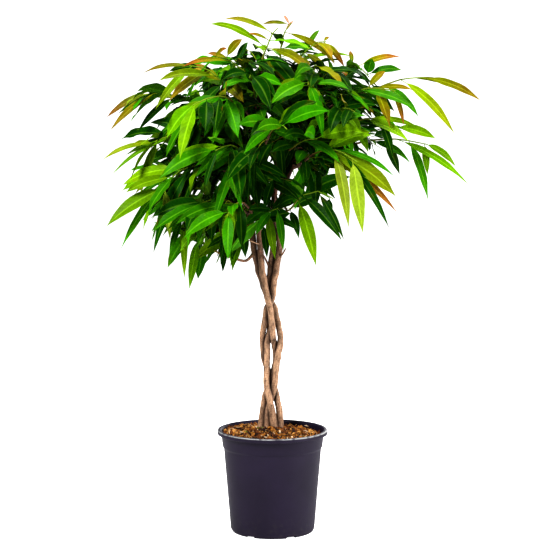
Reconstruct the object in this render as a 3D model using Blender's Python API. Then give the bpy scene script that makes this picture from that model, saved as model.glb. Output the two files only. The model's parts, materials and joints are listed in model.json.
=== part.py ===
"""A braided ficus standing in a round nursery pot, with soil, four woody stems and leafy shoots.

The origin is under the middle of the pot, on the surface that it stands on. +Z is up and the
plant is seen from -Y. The tables are in millimetres, and all other sizes are in metres.
"""

import math
import random
from collections import namedtuple

import bmesh
import bpy
from mathutils import Matrix, Vector
from mathutils.bvhtree import BVHTree

MM = 0.001
SEAT_GAP = 0.0003

# Pot: a thin tapered wall with a collar, a rolled rim, a raised floor and a notched foot ring.
POT_HEIGHT = 0.195
POT_RIM_RADIUS = 0.105
POT_RIM_DEPTH = 0.0085
POT_RIM_ROUNDING = 0.0025
POT_COLLAR_TOP_RADIUS = 0.0977
POT_COLLAR_BOTTOM_RADIUS = 0.0948
POT_STEP_HEIGHT = 0.160
POT_STEP_RADIUS = 0.0926
POT_BASE_RADIUS = 0.0798
POT_BASE_ROUNDING = 0.003
POT_WALL = 0.0018
POT_FLOOR_LIFT = 0.004
POT_FLOOR_THICKNESS = 0.0018
POT_FOOT_WIDTH = 0.0085
POT_SIDES = 32
POT_SMOOTH_ANGLE = math.radians(35.0)
NOTCH_COUNT = 6
NOTCH_LENGTH = 0.034
NOTCH_WIDTH = 0.019
NOTCH_HEIGHT = 0.0032
NOTCH_FIRST_ANGLE = math.radians(-63.0)

# Soil: it fills the pot, heaps up round the stems and has a rough top of loose chips.
SOIL_EDGE_HEIGHT = 0.184
SOIL_HEAP = 0.008
SOIL_HEAP_RADIUS = 0.055
SOIL_RINGS = 5
CHIP_HEIGHT = 0.0028
CHIP_SHIFT = 0.3
SOIL_SEED = 5

# Stems: four of them, braided up to the crown, each with a peg that stands in the soil.
STEM_RADIUS = 0.0056
STEM_TOP_RADIUS = 0.0028
STEM_SIDES = 6
STEM_SPACING = 0.0122
STEM_STEP = 0.0140
BRAID_ROUNDS = 40
PEG_DEPTH = 0.060
PEG_CLEARANCE = 0.0004

# Branches are fused to their stem. A twig goes on in line with each one.
BRANCH_RADIUS = 0.0028
BRANCH_SHARE = 0.78
BRANCH_SIDES = 3
BRANCH_POINTS = 4
BRANCH_SEED = 1000
WOOD_CLEARANCE = 0.0008
WOOD_TRIES = 80
WOOD_SHIFT = 0.004
SHORTEST_BRANCH = 0.032
TWIG_RADIUS = 0.0019
TWIG_END_RADIUS = 0.0010
TWIG_SIDES = 3
TWIG_POINTS = 7
TWIG_LENGTH = 0.110
TWIG_LEAD = 0.014
NODES_PER_TWIG = 5
NODE_LENGTH = 0.0030
NODE_SPACING = 0.012
FIRST_NODE = 0.07
LAST_NODE = 0.95

# Leaves: narrow arching blades folded along the rib, each grown out of a side of its twig.
LEAF_RIB_THICKNESS = 0.0013
LEAF_FOLD = 0.28
LEAF_ROOT_WIDTH = 0.0022
LEAF_STATIONS = (0.34, 0.70)
LEAF_NARROWING = 0.72
LEAF_ARCH = 0.13
LEAF_OUTWARD = 0.6
LEAF_FACING = Vector((0.0, -0.3, 0.35))
FACING_SPREAD = 0.45
SHOWN_FACING = Vector((0.0, -1.0, 0.45))
LEAF_LENGTHS = (0.078, 0.116)
LEAF_WIDTHS = (0.019, 0.027)
LEAF_DROOP = (0.15, 1.0)
LEAF_SHORTENING = 0.8
LEAF_CLEARANCE = 0.0007
LEAF_FREE_FROM = 0.05
LEAF_TRIES = 60
LEAF_SHIFT = 0.0012
LEAF_SEED = 10000
LEAST_OUTWARD = 0.15
LEAVES_PER_SHOOT = 10

# Crown: the ends of the shoots lie on a dome, and no leaf hangs below a slanting limit.
SHOOT_COUNT = 53
SHOOT_SPACING = 0.073
CROWN_CENTRE = Vector((0.020, 0.0, 0.690))
CROWN_RADII = Vector((0.235, 0.240, 0.215))
CROWN_LOWEST = math.radians(-24.0)
CROWN_PLACES = 400
CROWN_STRIDE = 149
CROWN_TOP = 0.955
TOP_SLOPE = 0.42
OUTLINE_MIDDLE = Vector((-0.030, 0.0))
OUTLINE_REACH = Vector((0.262, 0.285))
BRANCH_LOWEST = 0.595
BRANCH_RISE = 0.075
BRANCH_ARCH = (0.028, 0.020)
LEADER_TIP = 0.012
HANG_LOWEST = (0.490, 0.600)
HANG_REACH = (0.150, 0.060)
HANG_SLOPE = (0.55, 0.75)
HANG_CHANGE = (-0.070, -0.025)

BARK = (0.32, 0.17, 0.10)
POT_PLASTIC = (0.035, 0.030, 0.045)
SOIL_CHIPS = (0.23, 0.10, 0.03)
TONES = {
    "fresh": (0.085, 0.330, 0.022),
    "green": (0.035, 0.185, 0.018),
    "dark": (0.012, 0.085, 0.014),
    "olive": (0.170, 0.240, 0.020),
    "yellow": (0.300, 0.430, 0.030),
    "pale": (0.260, 0.420, 0.060),
    "bronze": (0.330, 0.150, 0.040),
    "pink": (0.420, 0.130, 0.110),
}

# A leaf's upper face turns towards its facing: that of a leaf in the table is the viewer's side.
Leaf = namedtuple("Leaf", "root tip width tone facing", defaults=(SHOWN_FACING,))
Shoot = namedtuple("Shoot", "name stem start path leaves")

# Braid: the height of each level, and there the place (x, y) of each stem.
BRAID_HEIGHTS = (199, 226, 241, 257, 272, 287, 305, 318, 333, 347,
                 366, 385, 398, 419, 442, 457, 470, 499, 537, 565)
BRAID = {
    "left": (
        (-10, 21), (-8, 20), (-5, 20), (-2, 17), (2, 14), (5, 9), (6, 9),
        (8, 9), (10, 8), (13, 7), (14, 12), (13, 15), (10, 16), (4, 20),
        (-7, 23), (-12, 16), (-18, 15), (-27, 15), (-35, 14), (-38, 14),
    ),
    "front": (
        (-21, 26), (-18, 27), (-16, 26), (-14, 22), (-9, 19), (-4, 19), (2, 21),
        (6, 22), (7, 21), (5, 18), (1, 8), (0, 6), (-1, 5), (-4, 2),
        (-8, 0), (-12, 3), (-14, 3), (-20, 5), (-23, 7), (-25, 5),
    ),
    "right": (
        (14, 21), (13, 21), (10, 22), (7, 26), (3, 27), (-3, 32), (-9, 29),
        (-14, 25), (-17, 22), (-18, 22), (-18, 22), (-17, 16), (-15, 12), (-11, 11),
        (-2, 12), (1, 12), (2, 10), (7, 8), (13, 7), (14, 7),
    ),
    "middle": (
        (3, 15), (-1, 10), (-4, 8), (-6, 6), (-10, 7), (-12, 9), (-11, 11),
        (-11, 12), (-10, 12), (-10, 12), (-8, 16), (-6, 19), (-6, 22), (-4, 29),
        (-6, 35), (-7, 27), (-6, 20), (-4, 15), (1, 12), (2, 14),
    ),
}

# Leaders: how each stem goes on inside the crown.
LEADERS = {
    "left": ((-43, 18, 610), (-52, 28, 660), (-75, 45, 730), (-95, 55, 790)),
    "front": ((-28, -8, 610), (-32, -25, 665), (-30, -42, 740), (-28, -48, 800), (-20, -45, 850)),
    "right": ((13, 0, 610), (25, -14, 665), (52, -22, 730), (78, -22, 790)),
    "middle": ((2, 24, 610), (6, 42, 665), (14, 52, 740), (18, 40, 800), (16, 26, 860)),
}

# Shoots at the places where the photograph shows them: the stem, the height where the branch leaves
# it, the places that branch and twig pass, and the root, tip, width and tone of the largest leaves.
SHOOTS = [
    Shoot("shoot_top_left_tip", "front", 850,
          ((-20, -20, 890), (-10, -25, 915), (0, -25, 940), (10, -25, 950)), (
        Leaf((-15, -25, 915), (-115, -60, 960), 13, "fresh"),
        Leaf((0, -25, 940), (-90, -10, 970), 10, "olive"),
        Leaf((15, -25, 950), (-45, -40, 940), 6, "bronze"),
    )),
    Shoot("shoot_top_tip", "middle", 850, ((15, 15, 910), (20, 10, 935), (25, 5, 950), (35, 5, 960)), (
        Leaf((15, 5, 945), (115, -20, 890), 11, "olive"),
        Leaf((35, 5, 960), (20, 0, 975), 5, "pink"),
        Leaf((35, 5, 960), (45, 5, 970), 5, "pink"),
        Leaf((25, 5, 950), (-20, 30, 960), 7, "olive"),
    )),
    Shoot("shoot_top_right", "middle", 815,
          ((35, 5, 880), (60, -5, 905), (80, -10, 925), (100, -15, 925)), (
        Leaf((80, -10, 925), (115, -40, 885), 10, "olive"),
        Leaf((55, -5, 910), (85, 10, 950), 9, "green"),
        Leaf((65, -5, 905), (100, -45, 875), 10, "olive"),
        Leaf((75, -10, 920), (105, -10, 935), 6, "bronze"),
        Leaf((100, -15, 925), (135, -30, 880), 11, "bronze"),
        Leaf((100, -15, 925), (150, -10, 905), 7, "fresh"),
    )),
    Shoot("shoot_top_left", "front", 825,
          ((-40, -45, 860), (-65, -55, 880), (-85, -60, 895), (-110, -65, 895)), (
        Leaf((-85, -60, 895), (-55, -60, 930), 14, "olive"),
        Leaf((-65, -55, 885), (-45, -50, 925), 12, "dark"),
        Leaf((-75, -60, 885), (-80, -75, 910), 9, "bronze"),
        Leaf((-105, -65, 890), (-120, -75, 910), 8, "bronze"),
        Leaf((-110, -65, 895), (-155, -80, 885), 9, "bronze"),
    )),
    Shoot("shoot_left_arch", "front", 770,
          ((-65, -70, 820), (-90, -90, 850), (-120, -100, 875), (-150, -105, 880)), (
        Leaf((-125, -100, 880), (-205, -125, 860), 17, "yellow"),
        Leaf((-145, -105, 880), (-210, -130, 805), 14, "yellow"),
        Leaf((-140, -105, 870), (-190, -90, 870), 13, "dark"),
        Leaf((-115, -100, 870), (-185, -140, 820), 17, "olive"),
        Leaf((-150, -105, 880), (-235, -85, 870), 8, "olive"),
    )),
    Shoot("shoot_left_far_top", "left", 750,
          ((-110, 10, 795), (-155, 0, 815), (-200, -10, 830), (-235, -15, 835)), (
        Leaf((-235, -15, 835), (-310, -20, 790), 12, "bronze"),
        Leaf((-225, -15, 830), (-300, -40, 765), 12, "olive"),
        Leaf((-200, -10, 825), (-290, 10, 795), 13, "dark"),
        Leaf((-215, -10, 825), (-250, -45, 765), 12, "dark"),
        Leaf((-235, -15, 830), (-275, 10, 820), 9, "pale"),
    )),
    Shoot("shoot_left_far", "left", 700,
          ((-115, -20, 745), (-155, -30, 755), (-200, -40, 750), (-225, -45, 735)), (
        Leaf((-210, -40, 745), (-260, -60, 735), 10, "yellow"),
        Leaf((-225, -45, 730), (-315, -45, 710), 9, "yellow"),
        Leaf((-220, -45, 735), (-305, -65, 690), 9, "fresh"),
        Leaf((-210, -40, 740), (-265, -20, 705), 12, "dark"),
        Leaf((-210, -40, 740), (-245, -70, 650), 14, "yellow"),
    )),
    Shoot("shoot_left_low", "left", 640,
          ((-95, -60, 695), (-130, -80, 700), (-170, -95, 690), (-200, -100, 655)), (
        Leaf((-185, -95, 680), (-265, -120, 655), 18, "fresh"),
        Leaf((-195, -100, 655), (-300, -120, 595), 26, "fresh"),
        Leaf((-200, -100, 650), (-275, -90, 550), 17, "green"),
        Leaf((-185, -100, 665), (-220, -110, 545), 23, "dark"),
        Leaf((-190, -100, 655), (-185, -130, 570), 15, "pale"),
        Leaf((-200, -100, 655), (-275, -70, 615), 9, "green"),
    )),
    Shoot("shoot_left_lowest", "left", 512,
          ((-65, -10, 520), (-95, -20, 530), (-120, -25, 545), (-150, -30, 575), (-170, -40, 605)), (
        Leaf((-155, -30, 575), (-195, -45, 510), 21, "green"),
        Leaf((-140, -30, 560), (-155, -40, 470), 16, "fresh"),
        Leaf((-130, -25, 550), (-140, -15, 485), 20, "green"),
        Leaf((-155, -30, 580), (-165, -60, 495), 13, "fresh"),
        Leaf((-170, -40, 605), (-220, -60, 575), 14, "green"),
        Leaf((-170, -40, 595), (-190, -20, 525), 12, "green"),
    )),
    Shoot("shoot_left_low_inner", "left", 575, ((-50, -25, 570), (-65, -45, 595), (-80, -60, 605)), (
        Leaf((-60, -45, 585), (-50, -65, 530), 19, "dark"),
        Leaf((-70, -45, 595), (-75, -75, 525), 19, "dark"),
        Leaf((-80, -60, 605), (-75, -60, 510), 20, "fresh"),
        Leaf((-80, -60, 605), (-95, -85, 520), 13, "dark"),
    )),
    Shoot("shoot_front_left", "front", 680,
          ((-40, -70, 695), (-55, -120, 725), (-75, -165, 740), (-100, -190, 730)), (
        Leaf((-65, -120, 730), (-105, -200, 600), 17, "green"),
        Leaf((-70, -165, 735), (-55, -215, 650), 28, "dark"),
        Leaf((-100, -190, 730), (-120, -205, 660), 10, "dark"),
        Leaf((-100, -190, 730), (-130, -230, 690), 16, "green"),
    )),
    Shoot("shoot_front_left_high", "front", 760,
          ((-50, -90, 785), (-75, -140, 820), (-105, -175, 825), (-140, -190, 810)), (
        Leaf((-145, -190, 810), (-190, -205, 760), 24, "fresh"),
        Leaf((-120, -175, 820), (-120, -215, 770), 27, "dark"),
        Leaf((-75, -140, 820), (-105, -200, 745), 18, "green"),
        Leaf((-70, -140, 815), (-60, -190, 755), 24, "green"),
    )),
    Shoot("shoot_front_trunk", "front", 600, ((-20, -30, 585), (-10, -55, 610), (10, -75, 620)), (
        Leaf((-20, -30, 590), (-10, -70, 530), 14, "dark"),
        Leaf((-5, -55, 610), (5, -85, 530), 16, "fresh"),
        Leaf((10, -75, 620), (20, -80, 545), 14, "green"),
        Leaf((10, -75, 620), (50, -95, 585), 14, "dark"),
        Leaf((5, -65, 615), (-45, -95, 620), 18, "fresh"),
        Leaf((0, -60, 610), (-30, -90, 575), 15, "green"),
        Leaf((10, -75, 620), (45, -105, 640), 17, "green"),
    )),
    Shoot("shoot_front_right_high", "right", 745, ((30, -60, 725), (55, -115, 745), (80, -160, 750)), (
        Leaf((80, -160, 750), (160, -190, 765), 26, "fresh"),
        Leaf((65, -115, 745), (90, -170, 785), 20, "fresh"),
        Leaf((50, -115, 740), (0, -150, 765), 18, "green"),
        Leaf((80, -160, 750), (115, -210, 715), 18, "green"),
    )),
    Shoot("shoot_front_right", "right", 700,
          ((50, -70, 700), (80, -125, 725), (115, -165, 730), (150, -185, 710)), (
        Leaf((105, -165, 730), (135, -205, 600), 19, "pale"),
        Leaf((140, -185, 715), (160, -205, 590), 24, "pale"),
        Leaf((125, -165, 725), (220, -195, 655), 31, "yellow"),
        Leaf((150, -185, 710), (225, -180, 625), 15, "bronze"),
        Leaf((145, -185, 705), (205, -170, 605), 14, "dark"),
        Leaf((150, -185, 710), (215, -160, 680), 10, "green"),
    )),
    Shoot("shoot_right_low", "right", 635,
          ((30, -35, 610), (50, -70, 640), (80, -95, 655), (110, -110, 640)), (
        Leaf((60, -70, 645), (125, -130, 570), 20, "dark"),
        Leaf((110, -110, 640), (125, -120, 575), 13, "dark"),
        Leaf((45, -70, 630), (80, -90, 520), 23, "fresh"),
        Leaf((40, -35, 620), (50, -100, 570), 14, "dark"),
        Leaf((85, -95, 655), (100, -90, 590), 16, "dark"),
    )),
    Shoot("shoot_right_upper", "middle", 770,
          ((85, 5, 830), (120, 5, 865), (155, 5, 885), (180, 0, 860)), (
        Leaf((160, 5, 880), (240, 20, 900), 12, "bronze"),
        Leaf((180, 0, 860), (185, -15, 895), 20, "green"),
        Leaf((180, 0, 860), (240, -10, 875), 14, "green"),
        Leaf((150, 5, 880), (145, 20, 910), 8, "bronze"),
    )),
    Shoot("shoot_right_far_top", "right", 770,
          ((115, 10, 810), (185, 15, 835), (235, 15, 855), (285, 15, 860)), (
        Leaf((240, 15, 855), (340, 0, 760), 16, "yellow"),
        Leaf((285, 15, 860), (390, 10, 820), 14, "olive"),
        Leaf((285, 15, 860), (345, 40, 845), 8, "bronze"),
        Leaf((210, 15, 845), (270, -40, 790), 15, "green"),
    )),
    Shoot("shoot_right_high", "right", 740,
          ((95, -40, 795), (135, -55, 825), (175, -65, 840), (225, -70, 835)), (
        Leaf((160, -65, 835), (210, -60, 870), 12, "olive"),
        Leaf((145, -55, 830), (185, -90, 795), 14, "olive"),
        Leaf((170, -65, 835), (260, -100, 810), 15, "green"),
        Leaf((225, -70, 835), (240, -80, 775), 9, "bronze"),
        Leaf((215, -70, 835), (260, -60, 835), 10, "olive"),
    )),
    Shoot("shoot_right_middle", "right", 715,
          ((100, -25, 755), (140, -40, 775), (185, -50, 785), (230, -55, 765)), (
        Leaf((170, -50, 785), (270, -50, 770), 10, "green"),
        Leaf((185, -50, 780), (245, -80, 745), 17, "green"),
        Leaf((230, -55, 760), (300, -60, 750), 17, "green"),
        Leaf((200, -50, 780), (220, -80, 715), 15, "dark"),
        Leaf((145, -40, 775), (175, -90, 725), 16, "green"),
    )),
    Shoot("shoot_right_far", "right", 690,
          ((110, 5, 720), (170, 5, 740), (230, 0, 745), (290, -5, 735)), (
        Leaf((285, -5, 740), (345, 15, 695), 13, "fresh"),
        Leaf((290, -5, 735), (365, -15, 665), 14, "fresh"),
        Leaf((255, 0, 740), (285, -35, 685), 13, "green"),
        Leaf((285, -5, 735), (290, -25, 635), 15, "green"),
        Leaf((210, 0, 745), (240, 25, 680), 16, "dark"),
        Leaf((185, 5, 740), (255, -40, 705), 14, "green"),
    )),
    Shoot("shoot_right_inner", "right", 640, ((35, -20, 665), (60, -40, 695), (85, -60, 700)), (
        Leaf((60, -45, 695), (45, -70, 620), 22, "green"),
        Leaf((75, -55, 700), (80, -80, 625), 24, "dark"),
        Leaf((85, -60, 700), (120, -85, 645), 22, "dark"),
        Leaf((85, -60, 700), (105, -50, 635), 20, "green"),
    )),
    Shoot("shoot_front_inner", "front", 630, ((-35, -40, 660), (-40, -60, 685), (-50, -85, 695)), (
        Leaf((-40, -60, 685), (-25, -100, 625), 24, "dark"),
        Leaf((-45, -70, 690), (-80, -110, 645), 24, "green"),
        Leaf((-50, -85, 695), (-60, -125, 630), 22, "dark"),
        Leaf((-50, -85, 695), (-5, -105, 665), 22, "dark"),
        Leaf((-40, -60, 680), (0, -70, 635), 20, "green"),
    )),
    Shoot("shoot_back_inner", "middle", 600, ((25, 40, 640), (50, 60, 675), (85, 75, 690)), ()),
]


def clear_scene():
    """Remove every object that the scene holds."""
    for old in list(bpy.data.objects):
        bpy.data.objects.remove(old, do_unlink=True)


def material(name, colour, roughness):
    """Make a plain Principled material."""
    made = bpy.data.materials.new(name)
    made.use_nodes = True
    shader = made.node_tree.nodes["Principled BSDF"]
    shader.inputs["Base Color"].default_value = (*colour, 1.0)
    shader.inputs["Roughness"].default_value = roughness
    shader.inputs["Metallic"].default_value = 0.0
    made.diffuse_color = (*colour, 1.0)
    return made


def object_from(name, shape, finish=None):
    """Turn a bmesh of one closed body into an object whose faces point outwards."""
    bmesh.ops.recalc_face_normals(shape, faces=shape.faces)
    mesh = bpy.data.meshes.new(name)
    shape.to_mesh(mesh)
    shape.free()
    if finish:
        mesh.materials.append(finish)
    made = bpy.data.objects.new(name, mesh)
    bpy.context.scene.collection.objects.link(made)
    return made


def tube_object(name, verts, faces, finish=None):
    """Make an object from the corners and faces of a tube."""
    shape = bmesh.new()
    corners = [shape.verts.new(vert) for vert in verts]
    for face in faces:
        shape.faces.new([corners[corner] for corner in face])
    return object_from(name, shape, finish)


def combine(subject, others, operation):
    """Fuse other objects to the subject, or cut them from it, in one Boolean, and remove them."""
    group = bpy.data.collections.new(subject.name + "_repeats")
    bpy.context.scene.collection.children.link(group)
    for other in others:
        group.objects.link(other)
    change = subject.modifiers.new("combine", "BOOLEAN")
    change.operation = operation
    change.operand_type = "COLLECTION"
    change.collection = group
    change.solver = "EXACT"
    depsgraph = bpy.context.evaluated_depsgraph_get()
    result = bpy.data.meshes.new_from_object(subject.evaluated_get(depsgraph))
    subject.modifiers.clear()
    subject.data = result
    for other in others:
        bpy.data.objects.remove(other, do_unlink=True)
    bpy.data.collections.remove(group)


def path_length(path):
    """Measure a path of points."""
    return sum((b - a).length for a, b in zip(path, path[1:]))


def point_along(path, share):
    """Find the point at a share of a path's length."""
    left = share * path_length(path)
    for a, b in zip(path, path[1:]):
        step = (b - a).length
        if left <= step:
            return a.lerp(b, left / step)
        left -= step
    return path[-1].copy()


def point_at_height(path, height):
    """Find the point of a rising path at a height."""
    for a, b in zip(path, path[1:]):
        if a.z <= height <= b.z:
            return a.lerp(b, (height - a.z) / (b.z - a.z))
    return path[-1].copy()


def nearest_share(path, place):
    """Find the share of a path's length at which it passes closest to a place."""
    steps = 60
    return min(range(steps + 1), key=lambda i: (point_along(path, i / steps) - place).length) / steps


def part_of_path(path, start, end, count):
    """Give points evenly spread between two shares of a path's length."""
    return [point_along(path, start + (end - start) * i / (count - 1)) for i in range(count)]


def smooth_path(points, count):
    """Give points evenly spread along a smooth curve through the given ones."""
    guides = [2 * points[0] - points[1], *points, 2 * points[-1] - points[-2]]
    steps = 12
    fine = []
    for a, b, c, d in zip(guides, guides[1:], guides[2:], guides[3:]):
        for step in range(steps):
            t = step / steps
            bend = (2 * a - 5 * b + 4 * c - d) * t * t + (3 * b - a - 3 * c + d) * t ** 3
            fine.append(0.5 * (2 * b + (c - a) * t + bend))
    fine.append(points[-1])
    return part_of_path(fine, 0.0, 1.0, count)


def taper(first, last, count):
    """List radii that run evenly from one to another."""
    return [first + (last - first) * i / (count - 1) for i in range(count)]


def band(start, sides):
    """List the faces between the ring of corners that begins at a number and the next ring."""
    end = start + sides
    turns = [(k, (k + 1) % sides) for k in range(sides)]
    return [(start + k, start + after, end + after, end + k) for k, after in turns]


def tube(path, radii, sides, first_way=None, last_way=None):
    """List the corners and faces of a closed tube; a way is the direction that an end runs in."""
    ways = [(b - a).normalized() for a, b in zip([path[0]] + path[:-1], path[1:] + [path[-1]])]
    ways[0] = first_way or ways[0]
    ways[-1] = last_way or ways[-1]
    verts = []
    side = ways[0].orthogonal()
    for point, way, radius in zip(path, ways, radii):
        side = (side - way * side.dot(way)).normalized()
        other = way.cross(side)
        for k in range(sides):
            turn = 2 * math.pi * k / sides
            verts.append(point + radius * (math.cos(turn) * side + math.sin(turn) * other))
    faces = [tuple(range(sides))]
    for start in range(0, (len(path) - 1) * sides, sides):
        faces += band(start, sides)
    faces.append(tuple(range(len(verts) - sides, len(verts))))
    return verts, faces


def turned(name, profile, finish):
    """Turn a profile of (radius, height) points, from axis to axis, into a round solid."""
    shape = bmesh.new()
    line = [shape.verts.new((radius, 0.0, height)) for radius, height in profile]
    edges = [shape.edges.new(pair) for pair in zip(line, line[1:])]
    bmesh.ops.spin(shape, geom=line + edges, cent=(0, 0, 0), axis=(0, 0, 1),
                   angle=2 * math.pi, steps=POT_SIDES, use_merge=True)
    bmesh.ops.remove_doubles(shape, verts=shape.verts, dist=1e-6)
    return object_from(name, shape, finish)


def pot_inside(inset):
    """List the inner wall of the pot from floor to collar, moved in by an inset."""
    floor = POT_FLOOR_LIFT + POT_FLOOR_THICKNESS + inset
    wall = POT_WALL + inset
    return [
        (POT_BASE_RADIUS - wall - POT_BASE_ROUNDING, floor),
        (POT_BASE_RADIUS - wall, floor + POT_BASE_ROUNDING),
        (POT_STEP_RADIUS - wall, POT_STEP_HEIGHT - 0.003),
        (POT_COLLAR_BOTTOM_RADIUS - wall, POT_STEP_HEIGHT + 0.001),
    ]


def pot_outside():
    """List the outside of the pot, from the middle of its floor over the rim to the inner wall."""
    rim_bottom = POT_HEIGHT - POT_RIM_DEPTH
    rounded_rim = POT_RIM_RADIUS - POT_RIM_ROUNDING
    foot_outer = POT_BASE_RADIUS - POT_BASE_ROUNDING
    foot_inner = foot_outer - POT_FOOT_WIDTH
    return [
        (0.0, POT_FLOOR_LIFT),
        (foot_inner - 0.002, POT_FLOOR_LIFT),
        (foot_inner, 0.0),
        (foot_outer, 0.0),
        (POT_BASE_RADIUS, 0.005),
        (POT_STEP_RADIUS, POT_STEP_HEIGHT - 0.001),
        (POT_COLLAR_BOTTOM_RADIUS, POT_STEP_HEIGHT + 0.003),
        (POT_COLLAR_TOP_RADIUS, rim_bottom),
        (rounded_rim, rim_bottom),
        (POT_RIM_RADIUS, rim_bottom + POT_RIM_ROUNDING),
        (POT_RIM_RADIUS, POT_HEIGHT - POT_RIM_ROUNDING),
        (rounded_rim, POT_HEIGHT),
        (POT_COLLAR_TOP_RADIUS + 0.0008, POT_HEIGHT),
        (POT_COLLAR_TOP_RADIUS - POT_WALL, POT_HEIGHT - 0.003),
    ]


def build_pot(finish):
    """Turn the pot and cut the notches in its foot ring."""
    inside = pot_inside(0.0)
    pot = turned("pot", pot_outside() + inside[::-1] + [(0.0, inside[0][1])], finish)
    notches = []
    for i in range(NOTCH_COUNT):
        angle = NOTCH_FIRST_ANGLE + 2 * math.pi * i / NOTCH_COUNT
        bpy.ops.mesh.primitive_cube_add(size=1.0)
        notch = bpy.context.object
        notch.data.transform(Matrix.Diagonal((NOTCH_LENGTH, NOTCH_WIDTH, 2 * NOTCH_HEIGHT, 1.0)))
        notch.data.transform(Matrix.Translation((POT_BASE_RADIUS - POT_FOOT_WIDTH, 0.0, 0.0)))
        notch.data.transform(Matrix.Rotation(angle, 4, "Z"))
        notches.append(notch)
    combine(pot, notches, "DIFFERENCE")
    pot.data.shade_smooth()
    pot.data.set_sharp_from_angle(angle=POT_SMOOTH_ANGLE)


def soil_profile():
    """List the soil's outline: down the pot's wall, and over the heap in rings to the middle."""
    wall = pot_inside(SEAT_GAP)
    widening = POT_COLLAR_TOP_RADIUS - POT_COLLAR_BOTTOM_RADIUS
    rise = POT_HEIGHT - POT_RIM_DEPTH - POT_STEP_HEIGHT
    edge = wall[-1][0] + widening / rise * (SOIL_EDGE_HEIGHT - wall[-1][1]) - SEAT_GAP
    top = []
    for i in range(1, SOIL_RINGS + 1):
        radius = edge * (1.0 - i / SOIL_RINGS)
        top.append((radius, SOIL_EDGE_HEIGHT + SOIL_HEAP * math.exp(-(radius / SOIL_HEAP_RADIUS) ** 2)))
    return [(0.0, wall[0][1])] + wall + [(edge, SOIL_EDGE_HEIGHT)] + top


def build_soil(feet, finish):
    """Fill the pot with soil, roughen its top into chips and bore a hole for each stem."""
    profile = soil_profile()
    edge = max(radius for radius, _ in profile)
    soil = turned("soil", profile, finish)
    draw = random.Random(SOIL_SEED)
    for vertex in soil.data.vertices:
        if vertex.co.z >= SOIL_EDGE_HEIGHT and vertex.co.xy.length < 0.99 * edge:
            lean = Vector((draw.uniform(-1, 1), draw.uniform(-1, 1), 0.0)) * CHIP_SHIFT
            vertex.co += (lean + Vector((0.0, 0.0, draw.uniform(-1, 1)))) * CHIP_HEIGHT
    bores = []
    for foot in feet:
        bottom = Vector((foot.x, foot.y, foot.z - PEG_DEPTH - SEAT_GAP))
        line = [bottom, Vector((foot.x, foot.y, POT_HEIGHT + 0.03))]
        radius = (STEM_RADIUS + PEG_CLEARANCE) / math.cos(math.pi / STEM_SIDES)
        bores.append(tube_object("bore", *tube(line, [radius, radius], 2 * STEM_SIDES)))
    combine(soil, bores, "DIFFERENCE")


def braid_level(height):
    """Place the four stems at one height as the table has them."""
    level = max(i for i, z in enumerate(BRAID_HEIGHTS[:-1]) if z <= height)
    share = (height - BRAID_HEIGHTS[level]) / (BRAID_HEIGHTS[level + 1] - BRAID_HEIGHTS[level])
    share = share * share * (3 - 2 * share)
    places = {}
    for name, table in BRAID.items():
        places[name] = Vector(table[level]).lerp(Vector(table[level + 1]), share) * MM
    return places


def part_stems(levels):
    """Push the stems apart, at the levels and halfway between, until none presses into another."""
    pairs = [(one, two) for one in levels[0] for two in levels[0] if one < two]
    for _ in range(BRAID_ROUNDS):
        for now, after in zip(levels, levels[1:] + [levels[-1]]):
            for one, two in pairs:
                for share in (0.0, 0.5):
                    apart = now[two].lerp(after[two], share) - now[one].lerp(after[one], share)
                    push = apart.normalized() * max(0.0, STEM_SPACING - apart.length) / 3
                    for level in (now, after):
                        level[one] = level[one] - push
                        level[two] = level[two] + push


def stem_paths():
    """List the points of each stem, from the soil through the braid to the end of its leader."""
    first, last = BRAID_HEIGHTS[0], BRAID_HEIGHTS[-1]
    steps = round((last - first) * MM / STEM_STEP)
    heights = [first + (last - first) * i / steps for i in range(steps + 1)]
    levels = [braid_level(height) for height in heights]
    part_stems(levels)
    paths = {}
    for name in BRAID:
        path = [Vector((*level[name], height * MM)) for level, height in zip(levels, heights)]
        leader = [Vector(point) * MM for point in LEADERS[name]]
        paths[name] = path + smooth_path([path[-1]] + leader, 2 * len(leader) + 1)[1:]
    return paths


def stem_radius(height, top):
    """Give a stem's radius: even in the braid, then narrowing to the end of the leader."""
    crown_start = BRAID_HEIGHTS[-1] * MM
    share = max(0.0, (height - crown_start) / (top - crown_start))
    return STEM_RADIUS + (STEM_TOP_RADIUS - STEM_RADIUS) * share


class Room:
    """The room that is taken up: the search tree of each placed shape, under its node's name."""

    def __init__(self):
        self.shapes = []

    @staticmethod
    def box(verts):
        """Find the lowest and highest corner of a shape's box."""
        low = [min(vert[k] for vert in verts) for k in range(3)]
        return low, [max(vert[k] for vert in verts) for k in range(3)]

    def add(self, node, verts, faces):
        """Note a placed shape."""
        self.shapes.append((node, *self.box(verts), BVHTree.FromPolygons(verts, faces)))

    def is_clear(self, verts, faces, counts):
        """Tell whether a trial shape meets no shape of the nodes that count."""
        low, high = self.box(verts)
        tree = BVHTree.FromPolygons(verts, faces)
        for node, other_low, other_high, other in self.shapes:
            apart = any(low[k] > other_high[k] or high[k] < other_low[k] for k in range(3))
            if counts(node) and not apart and tree.overlap(other):
                return False
        return True


def hang_limit(place):
    """Give the height below which no leaf hangs at a place: it rises to the right and outwards."""
    limits = []
    for lowest, reach, slope in zip(HANG_LOWEST, HANG_REACH, HANG_SLOPE):
        limits.append(lowest + slope * max(0.0, place.xy.length - reach))
    share = (place.x - HANG_CHANGE[0]) / (HANG_CHANGE[1] - HANG_CHANGE[0])
    share = min(1.0, max(0.0, share))
    return limits[0] + (limits[1] - limits[0]) * share


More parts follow.
